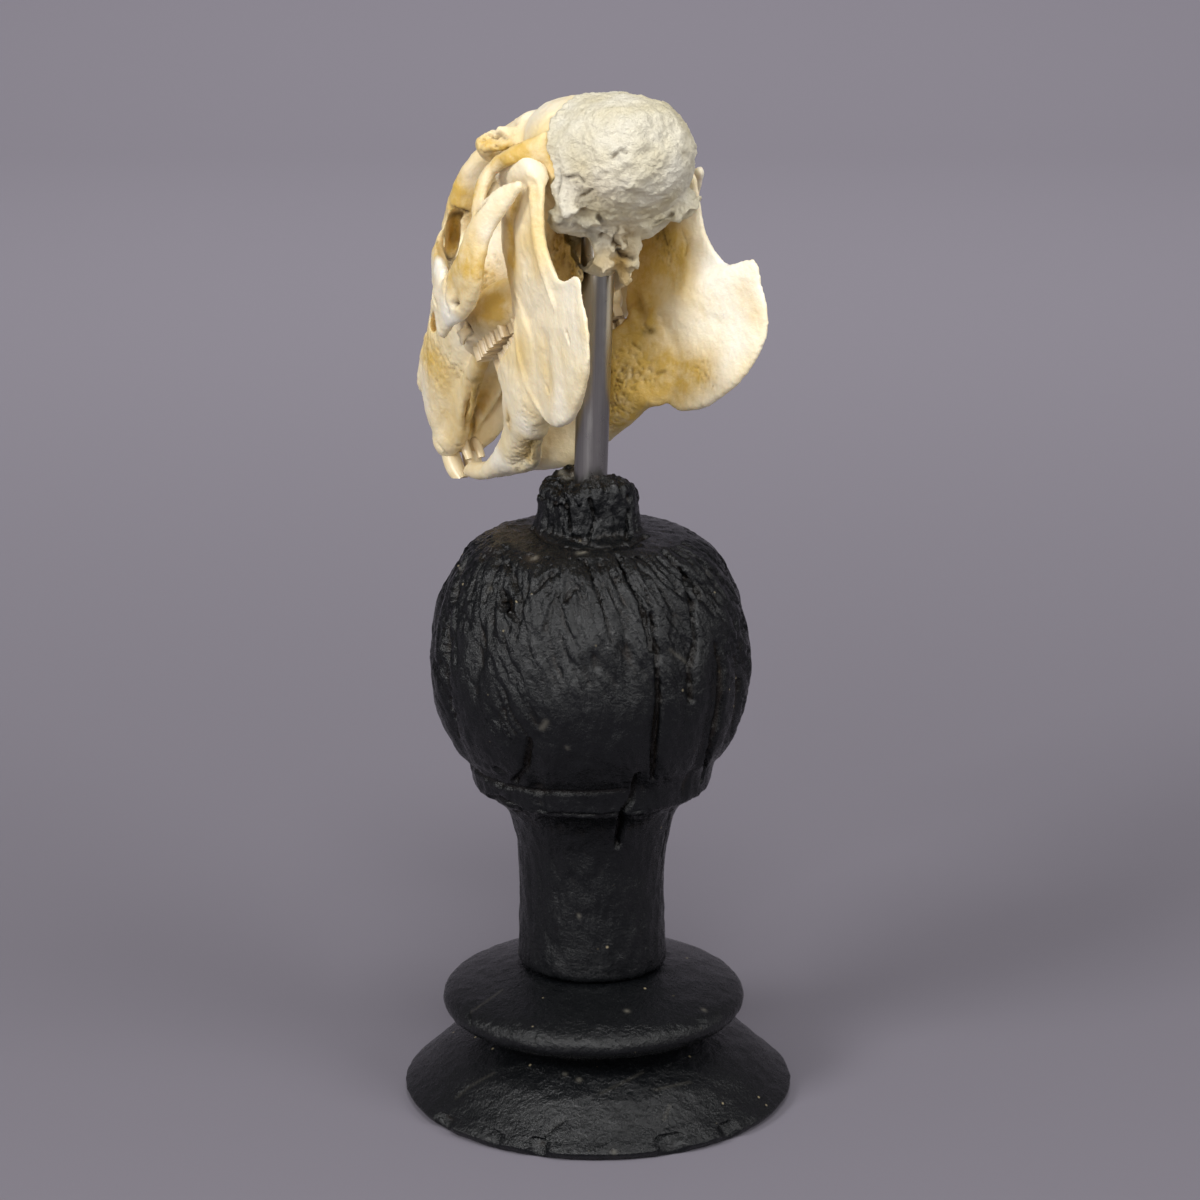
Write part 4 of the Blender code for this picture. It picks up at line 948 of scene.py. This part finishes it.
# %% Lower jaw marks
LEFT_JAW_MARKS = (
    ("dip", 1.8, 0.5, ((517, 200), (510, 225), (510, 250))),
    ("cut", 0.5, 0.7, ((566, 332), (569, 341))),
    ("cut", 0.6, 0.8, ((508, 417), (507, 424))),
    ("dip", 2.8, 1.4, ((534, 448), (526, 458), (518, 468))),
    ("sponge", 3.0, 0.4, ((530, 450), (518, 468))), ("sponge", 3.0, 0.25, ((525, 420), (540, 425))),
    ("cut", 0.4, 0.3, ((545, 385), (548, 392))), ("dip", 2.6, 0.3, ((545, 340), (548, 380))),
    ("ochre", 2.4, 0.95, ((517, 195), (508, 225), (511, 255))),
    ("ochre", 2.0, 0.8, ((512, 260), (506, 280))), ("ochre", 3.5, 0.35, ((545, 350), (548, 390))),
    ("ochre", 1.6, 0.8, ((508, 416), (508, 424))), ("ochre", 3.0, 0.7, ((535, 445), (522, 462))),
    ("ochre", 3.0, 0.5, ((565, 440), (570, 450))), ("ochre", 4.0, 0.3, ((520, 350), (530, 400))),
    ("brown", 1.3, 0.4, ((515, 200), (512, 220))), ("brown", 1.6, 0.4, ((520, 462), (532, 450))),
    ("pale", 3.0, 0.3, ((530, 165), (540, 172))), ("ochre", 4.0, 0.5, ((538, 195), (538, 260))),
    ("pale", 4.0, 0.5, ((568, 285), (575, 340))),
    ("pale", 3.0, 0.5, ((560, 400), (556, 425))), ("pale", 3.0, 0.6, ((490, 455), (505, 465))),
)
RIGHT_JAW_MARKS = (
    ("dip", 1.6, 1.0, ((635, 300), (640, 315))), ("cut", 0.4, 0.25, ((643, 325), (650, 332))),
    ("cut", 0.4, 0.25, ((662, 230), (667, 245))), ("cut", 0.4, 0.2, ((682, 232), (687, 245), (685, 255))),
    ("sponge", 3.0, 0.4, ((625, 365), (640, 375))), ("sponge", 3.0, 0.3, ((612, 385), (620, 400))),
    ("sponge", 2.4, 0.25, ((658, 235), (667, 255))), ("sponge", 2.0, 0.3, ((703, 370), (708, 382))),
    ("cut", 0.5, 0.4, ((656, 374), (664, 372))), ("cut", 0.4, 0.3, ((632, 344), (640, 350))),
    ("ochre", 5.0, 0.75, ((655, 225), (665, 250))), ("ochre", 4.0, 0.7, ((680, 240), (678, 275))),
    ("ochre", 5.0, 0.75, ((645, 250), (642, 275))), ("ochre", 3.0, 0.9, ((637, 300), (641, 315))),
    ("ochre", 5.0, 0.7, ((640, 380), (700, 375))), ("ochre", 5.0, 0.75, ((615, 370), (615, 415))),
    ("ochre", 9.0, 0.55, ((640, 335), (660, 370))), ("ochre", 7.0, 0.6, ((620, 330), (615, 400))),
    ("ochre", 3.0, 0.4, ((745, 290), (755, 315))),
    ("brown", 2.0, 0.25, ((660, 232), (668, 245))), ("brown", 1.4, 0.3, ((626, 366), (634, 376))),
    ("brown", 0.8, 0.5, ((645, 332), (652, 331))), ("brown", 1.2, 0.35, ((636, 299), (639, 306))),
    ("pale", 7.0, 0.7, ((715, 290), (735, 310), (700, 330))), ("pale", 5.0, 0.5, ((700, 240), (715, 262))),
    ("pale", 3.0, 0.6, ((735, 265), (755, 290))), ("pale", 3.0, 0.5, ((740, 340), (710, 395))),
    ("cut", 0.8, 0.9, ((60, -9, -9), (60.8, -9, -9))), ("dip", 5.0, 0.5, ((38, -19, -6), (28, -19, -10))),
    ("ochre", 4.0, 0.5, ((52, -12, -12), (60, -9, -14))), ("brown", 1.6, 0.3, ((40, -14, -15), (30, -16, -18))),
)
print("jaw marks:", len(LEFT_JAW_MARKS), "on the left,", len(RIGHT_JAW_MARKS), "on the right")

# %% [markdown]
# The photograph shows the outside of the left half and the inside of the right one, so
# each half has marks of its own on the same shape.

# %% Lower jaws
for label, jaw_marks in (("left", LEFT_JAW_MARKS), ("right", RIGHT_JAW_MARKS)):
    side = SIDES[label]
    mesh = bpy.data.meshes.new("mandible_" + label)
    for stations, square in JAW_FORMS:
        blade(mesh, stations, square, side)
    for points, radii in JAW_RIDGES:
        bar(mesh, points, radii, side)
    mesh.transform(SKULL)
    jaw = melted(piece("lower_jaw_" + label, mesh, bone), 0.34, 9)
    roughened(jaw.data, 6.0, 0.2, 11 * side)
    roughened(jaw.data, 1.4, 0.08, 5)
    marked(jaw, jaw_marks, (0.45, 1.8))
    placed(jaw, "bone", "mandible_" + label)

# %% [markdown]
# A rabbit's cheek tooth is an upright column with a fold down each side and a chewing
# face worn hollow between two enamel ridges. A cube is cut across, pinched at the fold,
# rounded along its edges, and its face is inset and sunk.

# %% Cheek teeth: position along, position across, half length, half width
UPPER_ROW = ((56.0, 10.3, 1.35, 1.6), (53.4, 10.2, 1.2, 2.0), (50.9, 10.2, 1.25, 2.1),
             (48.3, 10.1, 1.25, 2.0), (45.8, 9.4, 1.15, 1.55), (43.9, 8.9, 0.6, 0.9))
LOWER_ROW = ((55.5, 7.5, 1.5, 1.55), (52.4, 8.2, 1.4, 1.75), (49.4, 8.8, 1.4, 1.75),
             (46.6, 9.5, 1.2, 1.45), (44.6, 9.9, 0.7, 0.95))
UPPER_SPAN, LOWER_SPAN = (0.45, 5.6), (-5.6, 0.1)


def whole(bm, name, side, finish, worn_below):
    """Closes a tooth, stains its chewing end, and hands it over as a piece."""
    mesh = bpy.data.meshes.new(name)
    layer = bm.verts.layers.float.new("brown")
    for vert in bm.verts:
        vert[layer] = worn_below(vert.co)
    pour(bm, mesh, SKULL @ Matrix.Diagonal((1, side, 1, 1)))
    mesh.shade_smooth()
    mesh.set_sharp_from_angle(angle=math.radians(50))
    return placed(piece("enamel_" + name, mesh, finish), "tooth", name)


def cheek_tooth(name, x, y, half_long, half_wide, low, high, face, side):
    """A folded column from low to high, with its chewing face at the height given."""
    bm = bmesh.new()
    bmesh.ops.create_cube(bm, size=2)
    sides = [e for e in bm.edges if abs(e.verts[0].co.x - e.verts[1].co.x) > 1]
    bmesh.ops.subdivide_edges(bm, edges=sides, cuts=3, use_grid_fill=True)
    for vert in bm.verts:
        if abs(vert.co.x) < 0.1:
            vert.co.y *= 0.72
    upright = [e for e in bm.edges if abs(e.verts[0].co.z - e.verts[1].co.z) > 1
               and abs(e.verts[0].co.y) > 0.5 and abs(abs(e.verts[0].co.x) - 1) < 0.1]
    bmesh.ops.bevel(bm, geom=upright, offset=0.35, segments=4, profile=0.5, material=-1, affect="EDGES")
    bmesh.ops.transform(bm, verts=bm.verts, matrix=Matrix.Translation((x, y, (low + high) / 2))
                        @ Matrix.Diagonal((half_long - 0.15, half_wide, (high - low) / 2, 1)))
    worn = [f for f in bm.faces if all(abs(v.co.z - face) < 0.01 for v in f.verts)]
    bmesh.ops.inset_region(bm, faces=worn, thickness=0.28, depth=-0.3, use_even_offset=True)
    return whole(bm, name, side, enamel, lambda co: 0.3 if abs(co.z - face) < 0.35 else 0.0)


for label, side in SIDES.items():
    for k, (x, y, half_long, half_wide) in enumerate(UPPER_ROW, 1):
        cheek_tooth("upper_cheek_tooth_%s_%d" % (label, k), x, y, half_long, half_wide,
                    *UPPER_SPAN, UPPER_SPAN[0], side)
    for k, (x, y, half_long, half_wide) in enumerate(LOWER_ROW, 1):
        cheek_tooth("lower_cheek_tooth_%s_%d" % (label, k), x, y, half_long, half_wide,
                    *LOWER_SPAN, LOWER_SPAN[1], side)

# %% [markdown]
# The front teeth are curved rods with a chisel tip. A rabbit has a second, small pair of
# upper front teeth behind the large ones, the peg teeth. Each is a bar along its own
# curve whose tip is sliced off at a slant, as wear does.

# %% Front teeth
INCISORS = {
    "upper_incisor": (((83.0, 2.4, 5.6), (86.4, 2.3, 1.8), (88.2, 2.1, -2.6), (88.6, 1.9, -6.2),
                       (87.7, 1.8, -9.0)), (1.3, 1.45, 1.55, 1.6, 1.1), (0.5, 0, -1)),
    "peg_tooth": (((84.6, 1.35, -1.0), (84.5, 1.3, -4.0), (84.4, 1.2, -6.9)), (0.7, 0.8, 0.65), (0.2, 0, -1)),
    "lower_incisor": (((72.0, 1.95, -11.9), (77.0, 1.9, -11.2), (81.5, 1.8, -9.8), (85.2, 1.7, -7.9)),
                      (1.2, 1.3, 1.55, 1.15), (0.6, 0, 1)),
}
for label, side in SIDES.items():
    for kind, (points, radii, slant) in INCISORS.items():
        name = kind + "_" + label
        mesh = bpy.data.meshes.new(name + "_bar")
        bar(mesh, points, radii, 1, 24)
        bm = bmesh.new()
        bm.from_mesh(mesh)
        bpy.data.meshes.remove(mesh)
        tip = Vector(points[-1]) - Vector(slant).normalized() * 0.5
        cut = bmesh.ops.bisect_plane(bm, geom=bm.verts[:] + bm.edges[:] + bm.faces[:], plane_co=tip,
                                     plane_no=slant, clear_outer=True)["geom_cut"]
        bmesh.ops.edgeloop_fill(bm, edges=[e for e in cut if isinstance(e, bmesh.types.BMEdge)])
        root = Vector(points[0])
        whole(bm, name, side, enamel, lambda co: max(0.0, 0.4 - (co - root).length * 0.08))

# %% [markdown]
# The stand's column was turned on a lathe, so its outline is spun round the axis in fine
# steps. The outline is drawn as a smooth curve through the radii measured at each height.

# %% Turning the stand


def outline(points, waist, spacing=(0.6, 0.35)):
    """A smooth outline through (radius, height) points, closed to the axis at both ends."""
    curve = [row[0] for row in eased([((r, 0, z), (r, 0, z), 0) for r, z in points], 8)]
    curve = [Vector((0, 0, curve[0].z))] + curve + [Vector((0, 0, curve[-1].z))]
    path = []
    for a, b in zip(curve, curve[1:]):
        parts = max(1, round((b - a).length / spacing[b.z > waist]))
        path += [a.lerp(b, k / parts) for k in range(parts)]
    path.append(curve[-1])
    for _ in range(3):
        path = [path[0]] + [(a + b * 2 + c) / 4 for a, b, c in zip(path, path[1:], path[2:])] + [path[-1]]
    return path


def turned(name, points, steps, finish, waist=0.0):
    """A solid of revolution about Z, in metres."""
    bm = bmesh.new()
    path = outline(points, waist)
    verts = [bm.verts.new(point * MM) for point in path]
    edges = [bm.edges.new(pair) for pair in zip(verts, verts[1:])]
    bmesh.ops.spin(bm, geom=verts + edges, cent=(0, 0, 0), axis=(0, 0, 1), angle=2 * math.pi,
                   steps=steps, use_merge=True)
    bmesh.ops.remove_doubles(bm, verts=bm.verts, dist=0.00001)
    mesh = bpy.data.meshes.new(name)
    pour(bm, mesh)
    print(name, "outline of", len(path), "points, spun in", steps)
    return piece(name, mesh, finish)


# %% [markdown]
# Age has split and gouged the bulb: shrinkage cracks run down it, the upper half is
# ploughed by slanting gouges, and the neck is broken off short. The broad furrows follow
# a table of bearings all the way round; the cracks that the picture shows are marked on
# top of them one by one.

# %% Column shape
COLUMN_PROFILE = (
    (6.4, 107.0), (7.8, 106.2), (8.3, 104.0), (8.7, 99.8), (9.7, 98.2), (15.2, 97.4),
    (19.6, 95.2), (21.8, 92.6), (24.4, 88.0), (26.1, 82.0), (26.8, 75.0), (25.6, 67.7),
    (23.1, 62.0), (20.9, 59.4), (20.2, 57.0), (19.6, 54.8), (17.6, 53.6), (14.7, 51.0),
    (13.3, 47.4), (12.4, 42.7), (12.2, 33.0), (12.6, 23.0),
)
FURROWS = (
    (-64, 72, 12, 0.9), (-44, 84, 9, 0.8), (-24, 62, 7, 0.8), (-12, 86, 9, 0.6),
    (14, 86, 9, 1.0), (23, 66, 12, 0.9), (37, 80, 9, 0.8), (50, 68, 12, 1.1),
    (67, 72, 9, 0.8), (88, 78, 13, 0.9), (112, 70, 12, 1.0), (135, 84, 9, 0.8),
    (158, 68, 13, 1.0), (-178, 80, 11, 0.9), (-152, 70, 12, 1.0), (-128, 84, 9, 0.8),
    (-104, 68, 13, 0.9), (-84, 82, 10, 0.8),
)
FURROW_WIDTH = 4.0              # degrees
CLOSER = 0.32                   # draws the steps of the spin together on the side with most cracks
COLUMN_SHIFT, COLUMN_LEAN, STEM_SEAT = -0.9, math.tan(math.radians(-0.4)), 22.7


def weathered(mesh):
    """Furrows, gouges and the broken neck, then the column's slight lean."""
    spots = values_of(mesh, "co") / MM
    for k, (x, y, z) in enumerate(spots):
        radius = math.hypot(x, y)
        turn = math.atan2(x, -y)
        turn -= CLOSER * math.sin(turn)
        x, y = radius * math.sin(turn), -radius * math.cos(turn)
        bearing = math.degrees(turn)
        shrink = 0.0
        if 55 < z < 97 and radius > 10:
            for angle, middle, half, depth in FURROWS:
                off = (bearing - angle + 180) % 360 - 180
                shrink += (depth * math.exp(-(off / FURROW_WIDTH) ** 2)
                           * math.exp(-((z - middle) / half) ** 4))
            patch = noise.noise(Vector((bearing * 0.035, z * 0.09, 9.0)))
            ploughed = min(1.0, max(0.0, (z - 70 + 34 * patch) / 34))
            slant = Vector((bearing * 0.3 + z * 0.3, z * 0.16, 1.0))
            gouge = abs(noise.fractal(slant * 0.8, 0.9, 2.3, 2)) * 2.4
            shrink += max(0.0, 1 - gouge) ** 2 * (0.1 + 1.0 * ploughed)
            shrink += 0.5 * ploughed * noise.noise(Vector((bearing * 0.12, z * 0.25, 3.0)))
            shrink += 0.12 * math.sin(math.radians(bearing * 7)) * math.sin(z * 0.35)
        elif z > 97.8:
            torn = noise.fractal(Vector((bearing * 0.07, z * 0.3, 2.0)), 0.9, 2.1, 4)
            shrink = 0.3 * math.sin(math.radians(bearing * 5)) + 0.2 + 0.45 * torn
            if z > 104:
                z += (0.9 * math.sin(math.radians(bearing * 2 + 40)) - 0.5
                      + 0.8 * noise.fractal(Vector((x * 0.5, y * 0.5, 4.0)), 0.8, 2.2, 4))
        elif z <= 55:
            shrink = 0.12 * math.sin(math.radians(bearing * 3 + z * 6))
        scale = (radius - shrink) / radius if radius > 1 else 1
        spots[k] = (x * scale + COLUMN_SHIFT + COLUMN_LEAN * (z - STEM_SEAT), y * scale, z)
    moved_to(mesh, spots)


print("furrows:", len(FURROWS))

# %% [markdown]
# The cracks and gouges that the picture shows are cut into the aged column one by one.

# %% Column
COLUMN_MARKS = (
    ("cut", 0.6, 1.6, ((449, 615), (448, 660), (451, 700), (459, 735))),
    ("cut", 0.6, 1.3, ((530, 740), (526, 770), (515, 782))),
    ("cut", 0.5, 1.0, ((586, 562), (594, 580), (601, 600), (607, 618), (613, 640))),
    ("cut", 0.6, 1.3, ((618, 555), (628, 578), (640, 600), (648, 630), (652, 650))),
    ("cut", 0.6, 1.7, ((652, 615), (657, 650), (659, 700), (654, 750), (653, 780))),
    ("cut", 0.7, 1.6, ((683, 570), (692, 600), (697, 640), (690, 665), (691, 700))),
    ("cut", 0.7, 0.9, ((665, 552), (678, 568), (695, 582), (700, 600))),
    ("cut", 0.7, 1.8, ((716, 645), (722, 665), (720, 705), (712, 745), (702, 780))),
    ("cut", 0.5, 0.6, ((739, 680), (738, 690))),
    ("cut", 0.8, 1.7, ((637, 776), (632, 800), (622, 815), (618, 845))),
    ("cut", 0.5, 0.6, ((662, 855), (666, 830), (673, 805))),
    ("cut", 1.1, 0.9, ((480, 797), (500, 800), (515, 808), (525, 812))),
    ("cut", 0.7, 0.7, ((470, 765), (485, 778), (500, 785))),
    ("cut", 0.6, 0.6, ((500, 785), (540, 792), (590, 793), (625, 790))),
    ("cut", 0.7, 0.7, ((515, 812), (545, 815), (600, 817), (620, 815))),
    ("dip", 1.5, 1.5, ((502, 598), (505, 603))), ("cut", 0.8, 0.9, ((500, 590), (508, 610), (518, 622))),
    ("cut", 0.8, 0.8, ((455, 600), (458, 580), (466, 560))), ("cut", 0.7, 0.8, ((468, 600), (474, 575), (484, 556))),
    ("cut", 0.7, 0.8, ((484, 600), (490, 580), (500, 560))), ("cut", 0.7, 0.8, ((520, 600), (514, 580), (506, 562))),
    ("cut", 0.7, 0.8, ((535, 590), (545, 578), (556, 572))), ("cut", 0.6, 0.7, ((565, 600), (572, 590), (580, 586))),
    ("cut", 0.6, 0.6, ((514, 640), (520, 610), (528, 585))), ("cut", 0.6, 0.6, ((545, 630), (552, 605), (560, 590))),
    ("cut", 0.5, 0.8, ((557, 480), (566, 500), (570, 530))), ("cut", 0.5, 0.7, ((590, 500), (596, 520), (588, 540))),
    ("cut", 0.6, 0.9, ((629, 512), (627, 540))), ("dip", 0.9, 0.9, ((629, 498),)),
    ("cut", 0.7, 0.9, ((572, 538), (600, 547), (630, 544), (646, 536), (650, 530))),
    ("cut", 0.6, 0.6, ((532, 528), (545, 540), (572, 548), (610, 550), (640, 545))),
    ("cut", 0.6, 0.7, ((494, 523), (499, 520))), ("dip", 1.4, -0.7, ((480, 527), (497, 521))),
    ("ochre", 2.0, 0.2, ((482, 532), (510, 530), (520, 540))), ("ochre", 1.0, 0.5, ((530, 558), (534, 559))),
    ("pale", 0.8, 1.0, ((574, 475), (580, 476))), ("pale", 0.6, 0.9, ((592, 476), (606, 473))),
    ("ochre", 1.2, 0.9, ((575, 472), (590, 478), (605, 473))), ("pale", 0.7, 0.8, ((560, 471), (566, 477))),
    ("pale", 0.7, 0.8, ((534, 558),)), ("pale", 0.7, 0.7, ((580, 553), (584, 552))),
    ("pale", 0.5, 0.45, ((542, 728), (546, 722))), ("pale", 0.4, 0.35, ((567, 748),)),
    ("pale", 0.5, 0.5, ((490, 588),)), ("pale", 0.4, 0.5, ((579, 916),)),
    ("pale", 0.35, 0.25, ((690, 665), (670, 650))),
)
column = turned("turned_column", COLUMN_PROFILE, 320, wood, 52)
weathered(column.data)
roughened(column.data, 1.8, 0.22, 2, (1, 1, 2.5))
marked(column, COLUMN_MARKS, (0.15, 1.2))
placed(column, "blackened_wood", "stand_column")

# %% [markdown]
# The foot is a rounded disc over a flared base, turned in one. Its rim is thin and
# chipped all round, and its underside stays flat so that it stands.

# %% Foot
FOOT_PROFILE = (
    (12.9, 22.7), (16.4, 21.6), (21.4, 20.0), (24.7, 18.3), (25.6, 16.3), (24.4, 14.6),
    (21.2, 13.4), (18.4, 12.5), (21.7, 10.5), (25.9, 8.0), (29.9, 4.2), (32.5, 2.0),
    (32.9, 1.2), (31.9, 0.0),
)
DISC_SHIFT, WAIST = 0.8, 9      # the disc sits a little to the left of the flange
FOOT_MARKS = (
    ("chip", 1.0, 1.7, ((440, 1120), (446, 1124))), ("chip", 0.9, 1.5, ((490, 1136), (497, 1139))),
    ("chip", 1.2, 2.0, ((534, 1146), (541, 1148))), ("chip", 1.3, 1.9, ((664, 1145), (679, 1142))),
    ("chip", 1.1, 1.6, ((726, 1131), (733, 1128))),
    ("cut", 0.45, 0.5, ((565, 1118), (550, 1130), (541, 1140))),
    ("cut", 0.35, 0.3, ((470, 1014), (471, 1026))),
    ("cut", 0.3, 0.25, ((455, 1100), (470, 1086))),
    ("pale", 0.25, 0.15, ((471, 1012), (484, 1003), (502, 990))),
    ("pale", 0.25, 0.15, ((456, 1098), (470, 1086), (494, 1073))),
    ("pale", 0.25, 0.13, ((600, 1094), (620, 1084), (643, 1072))),
    ("pale", 0.25, 0.15, ((655, 1090), (690, 1082))), ("pale", 0.25, 0.2, ((670, 1105), (664, 1120))),
    ("pale", 0.5, 0.6, ((627, 1011),)), ("pale", 0.5, 0.5, ((704, 1010),)), ("pale", 0.5, 0.5, ((579, 1080),)),
    ("pale", 0.45, 0.4, ((565, 1074),)), ("pale", 0.5, 0.4, ((614, 1152),)),
)
foot = turned("turned_foot", FOOT_PROFILE, 400, wood)
spots = values_of(foot.data, "co") / MM
spots[:, 0] -= DISC_SHIFT * np.clip((spots[:, 2] - WAIST) / 4, 0, 1)
moved_to(foot.data, spots)
roughened(foot.data, 3.0, 0.12, 5)
marked(foot, FOOT_MARKS, (0.2, 1.4))
spots = values_of(foot.data, "co")
spots[:, 2] = np.maximum(spots[:, 2], 0)
foot.data.vertices.foreach_set("co", spots.ravel())
placed(foot, "blackened_wood", "stand_foot")

# %% [markdown]
# The rod is a plain steel bar with its ends eased. It leans a little to the right.

# %% Rod
bm = bmesh.new()
ROD_RADIUS, ROD_LENGTH = 2.75, 55.0
bmesh.ops.create_cone(bm, cap_ends=True, segments=96, radius1=ROD_RADIUS * MM, radius2=ROD_RADIUS * MM,
                      depth=ROD_LENGTH * MM, matrix=Matrix.Translation((0, 0, ROD_LENGTH / 2 * MM)))
rims = [edge for edge in bm.edges if abs(edge.verts[0].co.z - edge.verts[1].co.z) < MM]
bmesh.ops.bevel(bm, geom=rims, offset=0.3 * MM, segments=3, profile=0.5, material=-1, affect="EDGES")
mesh = bpy.data.meshes.new("rod")
pour(bm, mesh, Matrix.Translation(Vector((-1.6, 0, 96)) * MM) @ Matrix.Rotation(math.radians(1.9), 4, "Y"))
mesh.shade_smooth()
mesh.set_sharp_from_angle(angle=math.radians(40))
placed(piece("steel_rod", mesh, steel), "steel", "rod")

# %% [markdown]
# A plain sweep of paper carries the stand and rises behind it without a line.

# %% Floor
bm = bmesh.new()
verts = [bm.verts.new(point) for point in ((-5, -4, 0), (5, -4, 0))]
edge = bm.edges.new(verts)
for rise, ahead in ((0, 5.2), (0.05, 0.35), (0.2, 0.3), (0.45, 0.2), (2.5, 0.1)):
    made = bmesh.ops.extrude_edge_only(bm, edges=[edge])["geom"]
    edge = next(part for part in made if isinstance(part, bmesh.types.BMEdge))
    bmesh.ops.translate(bm, vec=(0, ahead, rise), verts=edge.verts)
mesh = bpy.data.meshes.new("backdrop")
pour(bm, mesh)
mesh.shade_smooth()
paper, shader = finish_named("backdrop_paper", Roughness=0.9)
shader.inputs["Base Color"].default_value = tone("747079")
backdrop = piece("backdrop", mesh, paper)
print(backdrop.name, [round(side, 2) for side in backdrop.dimensions], "m")

# %% [markdown]
# The main light is a soft box high on the left in front, so the shadow falls soft to the
# right and behind. A larger, weaker one on the right opens the shadows. One low in front
# reaches under the skull, one above gives the waxed wood its sheen, and the last washes
# the paper behind. A pale surrounding glow fills what is left.

# %% Light
AIM = Vector((0, 0, 0.13))
LIGHTS = (("key", Vector((-0.80, -0.70, 0.72)), AIM, 0.36, 9), ("fill", Vector((0.80, -0.61, 0.66)), AIM, 0.6, 6),
          ("front", Vector((-0.45, -1.2, 0.3)), AIM, 0.5, 4), ("top", Vector((0.05, -0.72, 1.15)), AIM, 0.4, 7),
          ("wash", Vector((0, 0.5, 1.5)), Vector((0, 2.1, 1.0)), 1.2, 40))
for name, spot, aim, size, power in LIGHTS:
    data = bpy.data.lights.new(name, "AREA")
    data.shape = "SQUARE"
    data.size = size
    data.energy = power
    light = bpy.data.objects.new(name, data)
    light.location = spot
    light.rotation_euler = (aim - spot).to_track_quat("-Z", "Y").to_euler()
    bpy.context.scene.collection.objects.link(light)
world = bpy.data.worlds.new("studio")
world.use_nodes = True
world.node_tree.nodes["Background"].inputs["Color"].default_value = tone("ECE8E6")
world.node_tree.nodes["Background"].inputs["Strength"].default_value = 0.3
bpy.context.scene.world = world
print("lights:", [row[0] for row in LIGHTS])
